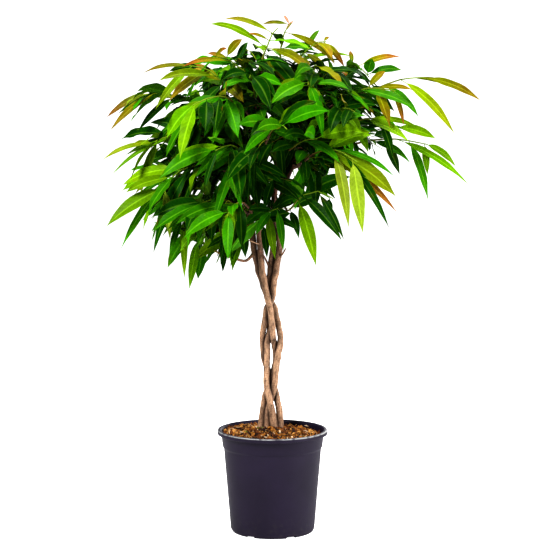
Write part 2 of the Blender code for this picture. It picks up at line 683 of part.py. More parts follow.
def is_in_outline(tip):
    """Tell whether the tip of a leaf lies between the limits of the crown."""
    offset = tip.xy - OUTLINE_MIDDLE
    flat = (offset.x / OUTLINE_REACH.x) ** 2 + (offset.y / OUTLINE_REACH.y) ** 2
    return flat < 1.0 and hang_limit(tip) < tip.z < CROWN_TOP - TOP_SLOPE * tip.xy.length


def rule_shoot(number, end, paths):
    """Give a shoot that leads to a place on the dome from the stem whose leader ends nearest."""
    stem = min(paths, key=lambda name: (paths[name][-2] - end).xy.length)
    start = min(paths[stem][-1].z - LEADER_TIP, max(BRANCH_LOWEST, end.z - BRANCH_RISE))
    root = point_at_height(paths[stem], start)
    middle = root.lerp(end, 0.5) + Vector((0.0, 0.0, BRANCH_ARCH[0]))
    near = root.lerp(end, 0.82) + Vector((0.0, 0.0, BRANCH_ARCH[1]))
    return Shoot("shoot_%02d" % number, stem, start / MM, (middle / MM, near / MM, end / MM), ())


def rule_shoots(paths):
    """List shoots at even places on the crown's dome that no measured shoot ends near."""
    taken = [Vector(place) * MM for shoot in SHOOTS for place in shoot.path[-2:]]
    added = []
    for i in range(CROWN_PLACES):
        place = (i * CROWN_STRIDE) % CROWN_PLACES
        height = 1.0 - (place + 0.5) / CROWN_PLACES * (1.0 - math.sin(CROWN_LOWEST))
        turn = place * math.pi * (3.0 - math.sqrt(5.0))
        flat = math.sqrt(1.0 - height * height)
        end = CROWN_CENTRE + Vector((flat * math.cos(turn), flat * math.sin(turn), height)) * CROWN_RADII
        if end.z < hang_limit(end) + 0.02 or any((end - other).length < SHOOT_SPACING for other in taken):
            continue
        taken.append(end)
        added.append(rule_shoot(len(added) + 1, end, paths))
    return added[:SHOOT_COUNT - len(SHOOTS)]


def branch_and_twig(shoot, paths, shift):
    """Route a shoot from its stem: a woody branch, then a leafy twig, and their common direction."""
    points = [point_at_height(paths[shoot.stem], shoot.start * MM)]
    for i, point in enumerate(shoot.path):
        points.append(Vector(point) * MM + shift * (1.0 - 0.5 * i / len(shoot.path)))
    path = smooth_path(points, 14)
    length = path_length(path)
    split = 1.0 - TWIG_LENGTH / length
    for leaf in shoot.leaves:
        split = min(split, nearest_share(path, Vector(leaf.root) * MM) - TWIG_LEAD / length)
    split = max(split, SHORTEST_BRANCH / length)
    branch = part_of_path(path, 0.0, split, BRANCH_POINTS)
    twig = part_of_path(path, split + SEAT_GAP / length, 1.0, TWIG_POINTS)
    way = (point_along(path, split + 0.03) - point_along(path, split - 0.03)).normalized()
    return branch, twig, way


def branch_tube(branch, way, root_radius, margin=0.0):
    """List the corners and faces of a branch, fatter by a margin."""
    radii = taper(root_radius + margin, TWIG_RADIUS + margin, len(branch))
    return tube(branch, radii, BRANCH_SIDES, last_way=way)


def twig_tube(twig, way, margin=0.0):
    """List the corners and faces of a twig, fatter by a margin."""
    radii = taper(TWIG_RADIUS + margin, TWIG_END_RADIUS + margin, len(twig))
    return tube(twig, radii, TWIG_SIDES, first_way=way)


def place_wood(shoots, paths, room):
    """Route each branch and twig so that it is clear of the wood of the other nodes."""
    routes = {}
    for number, shoot in enumerate(shoots):
        draw = random.Random(BRANCH_SEED + number)
        stem = "stem_" + shoot.stem
        for effort in range(WOOD_TRIES):
            way = Vector((draw.uniform(-1, 1), draw.uniform(-1, 1), draw.uniform(-1, 1)))
            branch, twig, way = branch_and_twig(shoot, paths, way * WOOD_SHIFT * effort ** 0.7)
            outer_branch = branch_tube(branch[1:], way, BRANCH_RADIUS, WOOD_CLEARANCE)
            if not room.is_clear(*outer_branch, lambda node: node != stem):
                continue
            if room.is_clear(*twig_tube(twig, way, WOOD_CLEARANCE), lambda node: True):
                routes[shoot.name] = (branch, twig, way)
                room.add(stem, *branch_tube(branch, way, BRANCH_RADIUS))
                room.add(shoot.name, *twig_tube(twig, way))
                break
    return routes


class Twig:
    """A twig with its leaf nodes: the short lengths of its tube from whose sides leaves grow."""

    def __init__(self, path, way, shares):
        self.shares = shares
        self.leaves = {}
        half = NODE_LENGTH / 2 / path_length(path)
        rings = [0.0] + [share + side for share in shares for side in (-half, half)] + [1.0]
        self.points = [point_along(path, ring) for ring in rings]
        radii = [TWIG_RADIUS + (TWIG_END_RADIUS - TWIG_RADIUS) * ring for ring in rings]
        self.verts, self.faces = tube(self.points, radii, TWIG_SIDES, first_way=way)

    def face_number(self, node, side):
        """Number the face of the tube that is one side of a leaf node."""
        return 1 + (1 + 2 * node) * TWIG_SIDES + side

    def way(self, node):
        """Give the direction in which the twig runs at a leaf node."""
        return (self.points[2 + 2 * node] - self.points[1 + 2 * node]).normalized()

    def free_seats(self):
        """List the sides of leaf nodes with no leaf yet, as (node, side, centre, outward)."""
        seats = []
        for node in range(len(self.shares)):
            axis = (self.points[1 + 2 * node] + self.points[2 + 2 * node]) / 2
            for side in range(TWIG_SIDES):
                corners = self.faces[self.face_number(node, side)]
                centre = sum((self.verts[corner] for corner in corners), Vector()) / len(corners)
                if (node, side) not in self.leaves:
                    seats.append((node, side, centre, (centre - axis).normalized()))
        return seats

    def emptiest_seats(self):
        """List the free seats of the leaf nodes that carry the fewest leaves."""
        seats = self.free_seats()
        crowd = {seat[0]: sum(1 for node, _ in self.leaves if node == seat[0]) for seat in seats}
        return [seat for seat in seats if crowd[seat[0]] == min(crowd.values())]


def node_shares(path, leaves):
    """Choose where a twig's leaf nodes lie: at its measured leaves, then in the widest gaps."""
    shares = []
    for leaf in leaves:
        share = max(FIRST_NODE, min(LAST_NODE, nearest_share(path, Vector(leaf.root) * MM)))
        if all(abs(share - other) * path_length(path) > NODE_SPACING for other in shares):
            shares.append(share)
    while len(shares) < NODES_PER_TWIG:
        marks = sorted([0.0] + shares + [1.0])
        gap, start = max((b - a, a) for a, b in zip(marks, marks[1:]))
        shares.append(start + gap / 2)
    return sorted(shares)


def leaf_rings(leaf, shares):
    """Give the corners (left edge, rib, right edge, underside) of a blade at shares of its length."""
    arch = Vector((0.0, 0.0, LEAF_ARCH * (leaf.tip - leaf.root).length))
    bend = (leaf.root + leaf.tip) / 2 + arch
    rings = []
    for share in shares:
        place = (1 - share) ** 2 * leaf.root + 2 * share * (1 - share) * bend + share ** 2 * leaf.tip
        way = ((1 - share) * (bend - leaf.root) + share * (leaf.tip - bend)).normalized()
        side = way.cross(leaf.facing).normalized()
        up = side.cross(way)
        width = LEAF_ROOT_WIDTH + (leaf.width - LEAF_ROOT_WIDTH) * min(1.0, share / LEAF_STATIONS[0])
        if share >= LEAF_STATIONS[1]:
            width = leaf.width * LEAF_NARROWING
        lift = up * width / 2 * LEAF_FOLD
        rings.append((place - side * width / 2 + lift, place,
                      place + side * width / 2 + lift, place - up * LEAF_RIB_THICKNESS))
    return rings


def leaf_trial(leaf, first):
    """List the corners and faces of a fatter blade for clearance tests, from a share of its length."""
    verts = []
    rings = leaf_rings(leaf, (first,) + LEAF_STATIONS)
    for left, rib, right, low in rings:
        side = (right - left).normalized() * LEAF_CLEARANCE
        up = (rib - low).normalized() * LEAF_CLEARANCE
        verts += [left - side, rib + up, right + side, low - up]
    verts.append(leaf.tip + (leaf.tip - leaf.root).normalized() * LEAF_CLEARANCE)
    faces = [(0, 3, 2, 1)]
    for start in range(0, 4 * (len(rings) - 1), 4):
        faces += band(start, 4)
    last = len(verts) - 1
    faces += [(last - 4 + k, last - 4 + (k + 1) % 4, last) for k in range(4)]
    return verts, faces


def take_seat(leaf, seat, shoot, twig, room):
    """Put a leaf on its seat if it is clear of all other nodes, and of its own beyond its root."""
    if not room.is_clear(*leaf_trial(leaf, 0.0), lambda node: node != shoot.name):
        return False
    if not room.is_clear(*leaf_trial(leaf, LEAF_FREE_FROM), lambda node: node == shoot.name):
        return False
    room.add(shoot.name, *leaf_trial(leaf, 0.0))
    twig.leaves[seat] = leaf
    return True


def place_measured(shoot, twig, room, seed):
    """Place the leaves that the photograph shows, moved where they would cross, mostly in depth."""
    for number, leaf in enumerate(shoot.leaves):
        draw = random.Random(seed + number)
        root = Vector(leaf.root) * MM
        for effort in range(LEAF_TRIES):
            shift = Vector((draw.uniform(-0.4, 0.4), draw.uniform(-1.6, 1.6), draw.uniform(-0.4, 0.4)))
            tip = Vector(leaf.tip) * MM + shift * LEAF_SHIFT * effort
            way = (tip - root).normalized()
            seats = [seat for seat in twig.free_seats() if seat[3].dot(way) > LEAST_OUTWARD]
            seats.sort(key=lambda seat: (seat[2] - root).length - 0.006 * seat[3].dot(way))
            if not seats:
                continue
            node, side, centre, _ = seats[(effort // 8) % len(seats)]
            if take_seat(Leaf(centre, tip, leaf.width * MM, leaf.tone), (node, side), shoot, twig, room):
                break


def drooping_leaf(seat, twig, draw):
    """Draw a leaf that leaves its seat outwards and hangs, or nothing where it leans back."""
    node, _, centre, outward = seat
    way = outward * draw.uniform(0.6, 1.0) + twig.way(node) * (0.15 + 0.5 * twig.shares[node])
    away = (centre - CROWN_CENTRE) * Vector((1.0, 1.0, 0.35))
    way += away.normalized() * draw.uniform(0.1, 0.6)
    way.z -= draw.uniform(*LEAF_DROOP)
    way.normalize()
    length = draw.uniform(*LEAF_LENGTHS)
    width = draw.uniform(*LEAF_WIDTHS) * (0.7 + 0.3 * length / LEAF_LENGTHS[1])
    tip = centre + way * length
    if way.dot(outward) < LEAST_OUTWARD or not is_in_outline(tip):
        return None
    turn = Vector((draw.uniform(-1, 1), draw.uniform(-1, 1), draw.uniform(-1, 1)))
    facing = away.normalized() * LEAF_OUTWARD + LEAF_FACING + turn * FACING_SPREAD
    return Leaf(centre, tip, width, "green", facing)


def place_by_rule(shoot, twig, room, seed):
    """Fill a shoot with drooping leaves, on the emptiest leaf nodes first."""
    for number in range(LEAVES_PER_SHOOT - len(twig.leaves)):
        draw = random.Random(seed + 50 + number)
        for effort in range(2 * LEAF_TRIES):
            seats = twig.emptiest_seats() if effort < LEAF_TRIES else twig.free_seats()
            seat = draw.choice(seats)
            leaf = drooping_leaf(seat, twig, draw)
            if leaf and effort > LEAF_TRIES / 2:
                leaf = leaf._replace(tip=leaf.root.lerp(leaf.tip, LEAF_SHORTENING))
            if leaf and take_seat(leaf, seat[:2], shoot, twig, room):
                break


def draw_out(shape, ring, corners):
    """Draw four corners out to new ones, with the sides split from the blade's edges to its rib."""
    new = [shape.verts.new(corner) for corner in corners]
    for edge in (0, 2):
        for rib in (1, 3):
            shape.faces.new((ring[edge], ring[rib], new[rib]))
            shape.faces.new((ring[edge], new[rib], new[edge]))
    return new


def grow_leaf(shape, corners, leaf):
    """Grow one blade from the four corners of its seat on the twig."""
    rings = leaf_rings(leaf, LEAF_STATIONS)
    centre = sum((corner.co for corner in corners), Vector()) / 4
    middle = sum(rings[0], Vector()) / 4
    outwards = [(place - middle).normalized() for place in rings[0]]
    orders = [corners[turn:] + corners[:turn] for turn in range(4)]
    ring = max(orders, key=lambda order: sum(
        (corner.co - centre).normalized().dot(way) for corner, way in zip(order, outwards)))
    for places in rings:
        ring = draw_out(shape, ring, places)
    tip = shape.verts.new(leaf.tip)
    for a, b in zip(ring, ring[1:] + ring[:1]):
        shape.faces.new((a, b, tip))


def build_stem(name, path, routes, finish):
    """Build one stem with its peg in the soil, and fuse its branches to it."""
    points = [path[0] - Vector((0.0, 0.0, PEG_DEPTH))] + path
    radii = [stem_radius(point.z, path[-1].z) for point in points]
    stem = tube_object(name, *tube(points, radii, STEM_SIDES), finish)
    branches = []
    for branch, _, way in routes:
        radius = min(BRANCH_RADIUS, BRANCH_SHARE * stem_radius(branch[0].z, path[-1].z))
        branches.append(tube_object("branch", *branch_tube(branch, way, radius)))
    combine(stem, branches, "UNION")


def build_shoot(shoot, twig):
    """Build one leafy shoot: its twig, with a blade grown from each seat that is taken."""
    shape = bmesh.new()
    verts = [shape.verts.new(vert) for vert in twig.verts]
    grown = {twig.face_number(*seat): leaf for seat, leaf in twig.leaves.items()}
    for number, face in enumerate(twig.faces):
        corners = [verts[corner] for corner in face]
        if number in grown:
            grow_leaf(shape, corners, grown[number])
        else:
            shape.faces.new(corners)
    tones = [leaf.tone for leaf in shoot.leaves] or ["green"]
    tone = max(sorted(set(tones)), key=tones.count)
    object_from(shoot.name, shape, material(shoot.name + "_leaves", TONES[tone], 0.35))


def main():
    """Build the pot, the soil, the stems with their branches, and the leafy shoots."""
    clear_scene()
    paths = stem_paths()
    build_pot(material("pot_plastic", POT_PLASTIC, 0.5))
    build_soil([path[0] for path in paths.values()], material("soil_chips", SOIL_CHIPS, 0.95))
    room = Room()
    for stem, path in paths.items():
        radii = [stem_radius(point.z, path[-1].z) for point in path]
        room.add("stem_" + stem, *tube(path, radii, STEM_SIDES))
    shoots = SHOOTS + rule_shoots(paths)
    routes = place_wood(shoots, paths, room)
    shoots = [shoot for shoot in shoots if shoot.name in routes]
    bark = material("bark", BARK, 0.8)
    for stem, path in paths.items():
        held = [routes[shoot.name] for shoot in shoots if shoot.stem == stem]
        build_stem("stem_" + stem, path, held, bark)
    twigs = []
    for shoot in shoots:
        _, path, way = routes[shoot.name]
        twigs.append(Twig(path, way, node_shares(path, shoot.leaves)))
    for place_leaves in (place_measured, place_by_rule):
        for number, (shoot, twig) in enumerate(zip(shoots, twigs)):
            place_leaves(shoot, twig, room, LEAF_SEED + 100 * number)
    for shoot, twig in zip(shoots, twigs):
        build_shoot(shoot, twig)


if __name__ == "__main__":
    main()
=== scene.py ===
"""A braided ficus in a nursery pot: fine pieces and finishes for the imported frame.

Every leaf and twig is read from the frame and made again in fine form at the same place. The stems
follow the same braid as the frame's. Lengths are in metres, except in tables that say millimetres.
"""

import json
import logging
import math
import random
from collections.abc import Callable
from dataclasses import dataclass, field
from enum import Enum
from functools import reduce

import bmesh
import bpy
import numpy as np
from mathutils import Matrix, Vector, noise
from mathutils.bvhtree import BVHTree
from mathutils.kdtree import KDTree

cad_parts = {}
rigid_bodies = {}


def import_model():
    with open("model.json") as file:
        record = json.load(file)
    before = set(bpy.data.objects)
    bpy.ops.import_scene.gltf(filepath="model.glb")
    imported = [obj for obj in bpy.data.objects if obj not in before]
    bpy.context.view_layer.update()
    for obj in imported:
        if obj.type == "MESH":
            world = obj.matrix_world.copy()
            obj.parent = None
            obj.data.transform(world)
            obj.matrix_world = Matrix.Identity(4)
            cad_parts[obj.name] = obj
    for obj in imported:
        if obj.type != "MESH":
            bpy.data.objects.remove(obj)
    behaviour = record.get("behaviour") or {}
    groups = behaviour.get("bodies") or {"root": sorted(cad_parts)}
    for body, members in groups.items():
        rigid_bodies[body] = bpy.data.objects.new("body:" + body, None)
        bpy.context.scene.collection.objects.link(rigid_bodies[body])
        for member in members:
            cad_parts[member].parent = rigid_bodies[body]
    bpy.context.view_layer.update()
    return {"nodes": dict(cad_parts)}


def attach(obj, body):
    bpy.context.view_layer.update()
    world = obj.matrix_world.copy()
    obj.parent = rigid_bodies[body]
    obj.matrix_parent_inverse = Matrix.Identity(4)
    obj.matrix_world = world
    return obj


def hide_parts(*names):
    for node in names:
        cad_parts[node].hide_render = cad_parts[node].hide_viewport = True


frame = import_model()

LOG = logging.getLogger("potted_ficus")
MM = 0.001
# Corners closer than this are one.
MERGE = 1e-6
# A blade's sides meet in a crisp margin, and what is rounder than this is smooth.
MARGIN_ANGLE = math.radians(75.0)

Pair = tuple[float, float]
Triple = tuple[float, float, float]
Colour = Triple
Mesh = bpy.types.Mesh
Object = bpy.types.Object
Material = bpy.types.Material
NodeTree = bpy.types.NodeTree
Socket = bpy.types.NodeSocket
Points = list[Vector]
Draw = random.Random
# The middle and the radius of each ring of a tube.
Rings = list[tuple[Vector, float]]


class Tone(Enum):
    """The tones of the leaves, as the colour of the upper side."""

    FRESH = (0.100, 0.224, 0.001)
    GREEN = (0.030, 0.148, 0.0006)
    DARK = (0.006, 0.046, 0.0005)
    OLIVE = (0.125, 0.145, 0.001)
    YELLOW = (0.125, 0.210, 0.003)
    PALE = (0.150, 0.230, 0.018)
    BRONZE = (0.185, 0.070, 0.012)
    PINK = (0.380, 0.170, 0.110)


@dataclass(frozen=True)
class LeafFinish:
    """Smooth leaf skin with a pale rib, faint side veins and a duller, paler underside."""

    rib: Colour = (0.34, 0.50, 0.05)
    rib_strength: float = 0.42
    rib_tint_share: float = 0.65
    vein_strength: float = 0.13
    margin_strength: float = 0.10
    scorch: Colour = (0.20, 0.07, 0.010)
    under: Colour = (0.20, 0.36, 0.03)
    under_strength: float = 0.22
    vein_count: float = 13.0
    roughness: float = 0.30
    under_roughness: float = 0.55
    specular: float = 0.035
    relief: float = 0.0003
    # The half widths between which the relief fades out.
    relief_fade: Pair = (0.0012, 0.0060)


@dataclass(frozen=True)
class BarkFinish:
    """Pale pink-brown bark with lenticels, brown flecks, fine upright cracks and dark knots."""

    base: Colour = (0.345, 0.212, 0.132)
    light: Colour = (0.68, 0.53, 0.40)
    fleck: Colour = (0.120, 0.046, 0.016)
    # The cracks' colour, also used for the knots' stains and the painted shade where the stems touch.
    crack: Colour = (0.026, 0.010, 0.005)
    aged: Colour = (0.085, 0.030, 0.016)
    lenticel_scale: Triple = (240.0, 240.0, 430.0)
    fleck_scale: Triple = (330.0, 330.0, 560.0)
    fleck_strength: float = 0.62
    crack_scale: Triple = (420.0, 420.0, 60.0)
    crack_strength: float = 0.60
    roughness: float = 0.78
    relief: float = 0.0014


@dataclass(frozen=True)
class PotFinish:
    """Dark slate-violet moulded plastic with a pale highlight painted along the rim and a little dust at the
    foot.
    """

    base: Colour = (0.014, 0.009, 0.024)
    # The pale highlight painted along the rim's upper edge.
    rubbed: Colour = (0.420, 0.430, 0.420)
    dust: Colour = (0.036, 0.032, 0.031)
    dust_height: float = 0.05
    roughness: float = 0.46
    specular: float = 0.26
    relief: float = 0.0001


@dataclass(frozen=True)
class SoilFinish:
    """Damp dark soil and the dry bark chips that lie on it."""

    damp: Colour = (0.018, 0.007, 0.003)
    crumb: Colour = (0.130, 0.050, 0.014)
    roughness: float = 0.92
    crumb_relief: float = -0.002
    chip_relief: float = 0.0016


@dataclass(frozen=True)
class MossFinish:
    """Soft bright green moss."""

    base: Colour = (0.105, 0.180, 0.012)
    roughness: float = 0.95
    relief: float = 0.001


class ChipTone(Enum):
    """The colours of the bark chips."""

    ORANGE = (0.340, 0.140, 0.020)
    TAN = (0.520, 0.265, 0.070)
    PALE = (0.620, 0.450, 0.290)
    RUST = (0.160, 0.050, 0.008)
    DARK = (0.035, 0.012, 0.004)


class NodeMaker:
    """Makes, sets and links the nodes of one node tree."""

    def __init__(self, tree: NodeTree) -> None:
        """Keep the tree that the nodes go into."""
        self.tree = tree

    @staticmethod
    def pick(sockets: bpy.types.bpy_prop_collection, key: int | str) -> Socket:
        """Find a socket by number, or the enabled one with a name.

        Args:
            sockets: The inputs or outputs of a node.
            key: The number or the name.

        Returns:
            The socket.
        """
        if isinstance(key, int):
            return sockets[key]
        return next(socket for socket in sockets if socket.name == key and socket.enabled)

    def feed(self, socket: Socket, value: object) -> None:
        """Link a value to an input if it is a socket, or else set it.

        Args:
            socket: The input.
            value: The value.
        """
        if isinstance(value, Socket):
            self.tree.links.new(value, socket)
        else:
            socket.default_value = value

    def add(self, kind: str, inputs: dict | None = None, out: int | str = 0, **settings) -> Socket:
        """Make a node.

        Args:
            kind: Blender's name for the node type.
            inputs: Values or sockets for its inputs, by name or number.
            out: The output that is handed back.
            settings: Properties of the node, set first.

        Returns:
            The chosen output socket.
        """
        node = self.tree.nodes.new(kind)
        for name, value in settings.items():
            setattr(node, name, value)
        for key, value in (inputs or {}).items():
            self.feed(self.pick(node.inputs, key), value)
        return self.pick(node.outputs, out)

    def math(self, operation: str, *values: object, kind: str = "ShaderNodeMath", **settings) -> Socket:
        """Make a Math node from its operation and its inputs in order, and hand back its output."""
        return self.add(kind, dict(enumerate(values)), operation=operation, **settings)

    def vector(self, operation: str, *values: object) -> Socket:
        """Make a Vector Math node whose result is a vector, and hand back its output."""
        return self.math(operation, *values, kind="ShaderNodeVectorMath")

    def times(self, *values: object) -> Socket:
        """Multiply values in turn."""
        return reduce(lambda product, value: self.math("MULTIPLY", product, value), values)

    def mottle(self, place: object, scale: object, detail: float) -> Socket:
        """Make a soft random pattern, and hand back its value."""
        return self.add("ShaderNodeTexNoise", {"Vector": place, "Scale": scale, "Detail": detail})

    def scaled(self, vector: object, factor: object) -> Socket:
        """Scale a vector by a factor."""
        return self.add("ShaderNodeVectorMath", {0: vector, "Scale": factor}, operation="SCALE")

    def mix(self, factor: object, first: object, second: object, blend: str = "MIX") -> Socket:
        """Mix two colours, and hand back the colour."""
        inputs = {0: factor, 6: first, 7: second}
        return self.add("ShaderNodeMix", inputs, out=2, data_type="RGBA", blend_type=blend)

    def ramp(self, value: object, low: float, high: float) -> Socket:
        """Turn a value into a soft mask that is 0 at low and 1 at high."""
        inputs = {0: value, 1: low, 2: high}
        return self.add("ShaderNodeMapRange", inputs, interpolation_type="SMOOTHSTEP", clamp=True)

    def store(self, shape: Socket, name: str, value: Socket, kind: str = "FLOAT",
              on: str = "POINT") -> Socket:
        """Store a named attribute on a geometry, and hand back the geometry."""
        inputs = {"Geometry": shape, "Name": name, "Value": value}
        return self.add("GeometryNodeStoreNamedAttribute", inputs, data_type=kind, domain=on)

    def attribute(self, name: str, out: str = "Fac") -> Socket:
        """Read an attribute of the piece in a material."""
        return self.add("ShaderNodeAttribute", out=out, attribute_name=name)


def rgba(colour: Colour) -> tuple[float, float, float, float]:
    """Give a colour its alpha."""
    return (*colour, 1.0)


def clamped(value: float) -> float:
    """Keep a value between 0 and 1."""
    return min(1.0, max(0.0, value))


def tapered(first: float, last: float, count: int) -> list[float]:
    """Give radii that change evenly from the first to the last."""
    return [first + (last - first) * i / (count - 1) for i in range(count)]


def noise_at(place: Vector, scale: Triple) -> float:
    """Give the smooth noise at a place, with its own scale along each axis."""
    return noise.noise(Vector([number * factor for number, factor in zip(place, scale)]))


def interface(tree: NodeTree, inputs: dict[str, tuple], outputs: dict[str, str]) -> None:
    """Give a node tree its named inputs and outputs.

    Args:
        tree: The tree.
        inputs: The kind and the first value of each input, by name.
        outputs: The kind of each output, by name.
    """
    for name, (kind, value) in inputs.items():
        socket = tree.interface.new_socket(name, in_out="INPUT", socket_type="NodeSocket" + kind)
        if value is not None:
            socket.default_value = value
    for name, kind in outputs.items():
        tree.interface.new_socket(name, in_out="OUTPUT", socket_type="NodeSocket" + kind)


class SurfaceGroups:
    """The shader node groups that several materials share."""

    def __init__(self) -> None:
        """Build the groups once."""
        self.grain = self.build_grain()
        self.veins = self.build_veins()

    @staticmethod
    def build_grain() -> NodeTree:
        """Build the group that mottles a colour and gives a fine relief.

        Returns:
            The group, with the outputs Colour and Height.
        """
        tree = bpy.data.node_groups.new("surface_grain", "ShaderNodeTree")
        sizes = {
            "Colour": ("Color", None), "Patch Scale": ("Float", 40.0), "Fine Scale": ("Float", 400.0),
            "Variation": ("Float", 0.3), "Stretch": ("Vector", (1.0, 1.0, 1.0)),
        }
        interface(tree, sizes, {"Colour": "Color", "Height": "Float"})
        make = NodeMaker(tree)
        given = tree.nodes.new("NodeGroupInput").outputs
        place = make.add("ShaderNodeTexCoord", out="Object")
        place = make.vector("MULTIPLY", place, given["Stretch"])
        patch = make.mottle(place, given["Patch Scale"], 3.0)
        fine = make.mottle(place, given["Fine Scale"], 4.0)
        both = make.math("ADD", make.times(patch, 0.65), make.times(fine, 0.35))
        swing = make.times(make.math("SUBTRACT", both, 0.5), given["Variation"])
        level = make.math("MULTIPLY_ADD", swing, 4.0, 1.0)
        shade = make.scaled(given["Colour"], level)
        out = tree.nodes.new("NodeGroupOutput")
        tree.links.new(shade, out.inputs["Colour"])
        tree.links.new(fine, out.inputs["Height"])
        return tree

    @staticmethod
    def build_veins() -> NodeTree:
        """Build the group that marks the rib and the side veins of a blade.

        Returns:
            The group, with the outputs Rib, Veins, Margin and Height.
        """
        tree = bpy.data.node_groups.new("leaf_veins", "ShaderNodeTree")
        sizes = {
            "Along": ("Float", 0.0), "Across": ("Float", 0.0),
            "Rib Width": ("Float", 0.10), "Vein Count": ("Float", 13.0),
        }
        outputs = dict.fromkeys(("Rib", "Veins", "Margin", "Height"), "Float")
        interface(tree, sizes, outputs)
        make = NodeMaker(tree)
        given = tree.nodes.new("NodeGroupInput").outputs
        side = make.math("ABSOLUTE", given["Across"])
        spread = make.math("MULTIPLY_ADD", given["Along"], 0.6, 1.0)
        off_rib = {0: side, 1: 0.02, 2: make.times(given["Rib Width"], spread)}
        rib = make.math("SUBTRACT", 1.0, make.add("ShaderNodeMapRange", off_rib, clamp=True))
        slant = make.math("MULTIPLY_ADD", side, -0.10, given["Along"])
        wave = make.math("SINE", make.times(slant, given["Vein Count"], 2 * math.pi))
        inner = make.math("SUBTRACT", 1.0, make.ramp(side, 0.75, 0.98))
        veins = make.times(make.ramp(wave, 0.72, 1.0), inner)
        margin = make.ramp(side, 0.84, 0.99)
        height = make.math("SUBTRACT", make.times(wave, 0.18), rib)
        out = tree.nodes.new("NodeGroupOutput")
        for name, value in (("Rib", rib), ("Veins", veins), ("Margin", margin), ("Height", height)):
            tree.links.new(value, out.inputs[name])
        return tree


class MaterialMaker(NodeMaker):
    """Builds one procedural material round its Principled shader."""

    def __init__(self, name: str) -> None:
        """Make the material, and keep its shader.

        Args:
            name: The material's name.
        """
        self.material = bpy.data.materials.new(name)
        self.material.use_nodes = True
        super().__init__(self.material.node_tree)
        self.shader = self.tree.nodes["Principled BSDF"]

    def group(self, tree: NodeTree, inputs: dict) -> bpy.types.bpy_prop_collection:
        """Place a shared group with its own values.

        Args:
            tree: The group.
            inputs: Values or sockets for its inputs, by name.

        Returns:
            The group's outputs.
        """
        node = self.tree.nodes.new("ShaderNodeGroup")
        node.node_tree = tree
        for name, value in inputs.items():
            self.feed(node.inputs[name], value)
        return node.outputs

    def finish(self, colour: object, roughness: object, height: object, relief: float, **sockets) -> Material:
        """Wire the shader.

        Args:
            colour: The base colour.
            roughness: The roughness.
            height: The height for the bump, or nothing.
            relief: The distance in metres that a height of one stands for.
            sockets: Values that are the same all over, by socket name with underscores.

        Returns:
            The material.
        """
        if height is not None:
            bump = self.add("ShaderNodeBump", {"Height": height, "Distance": relief, "Strength": 1.0})
            self.feed(self.shader.inputs["Normal"], bump)
        for name, value in {"Base_Color": colour, "Roughness": roughness, **sockets}.items():
            self.feed(self.shader.inputs[name.replace("_", " ")], value)
        return self.material


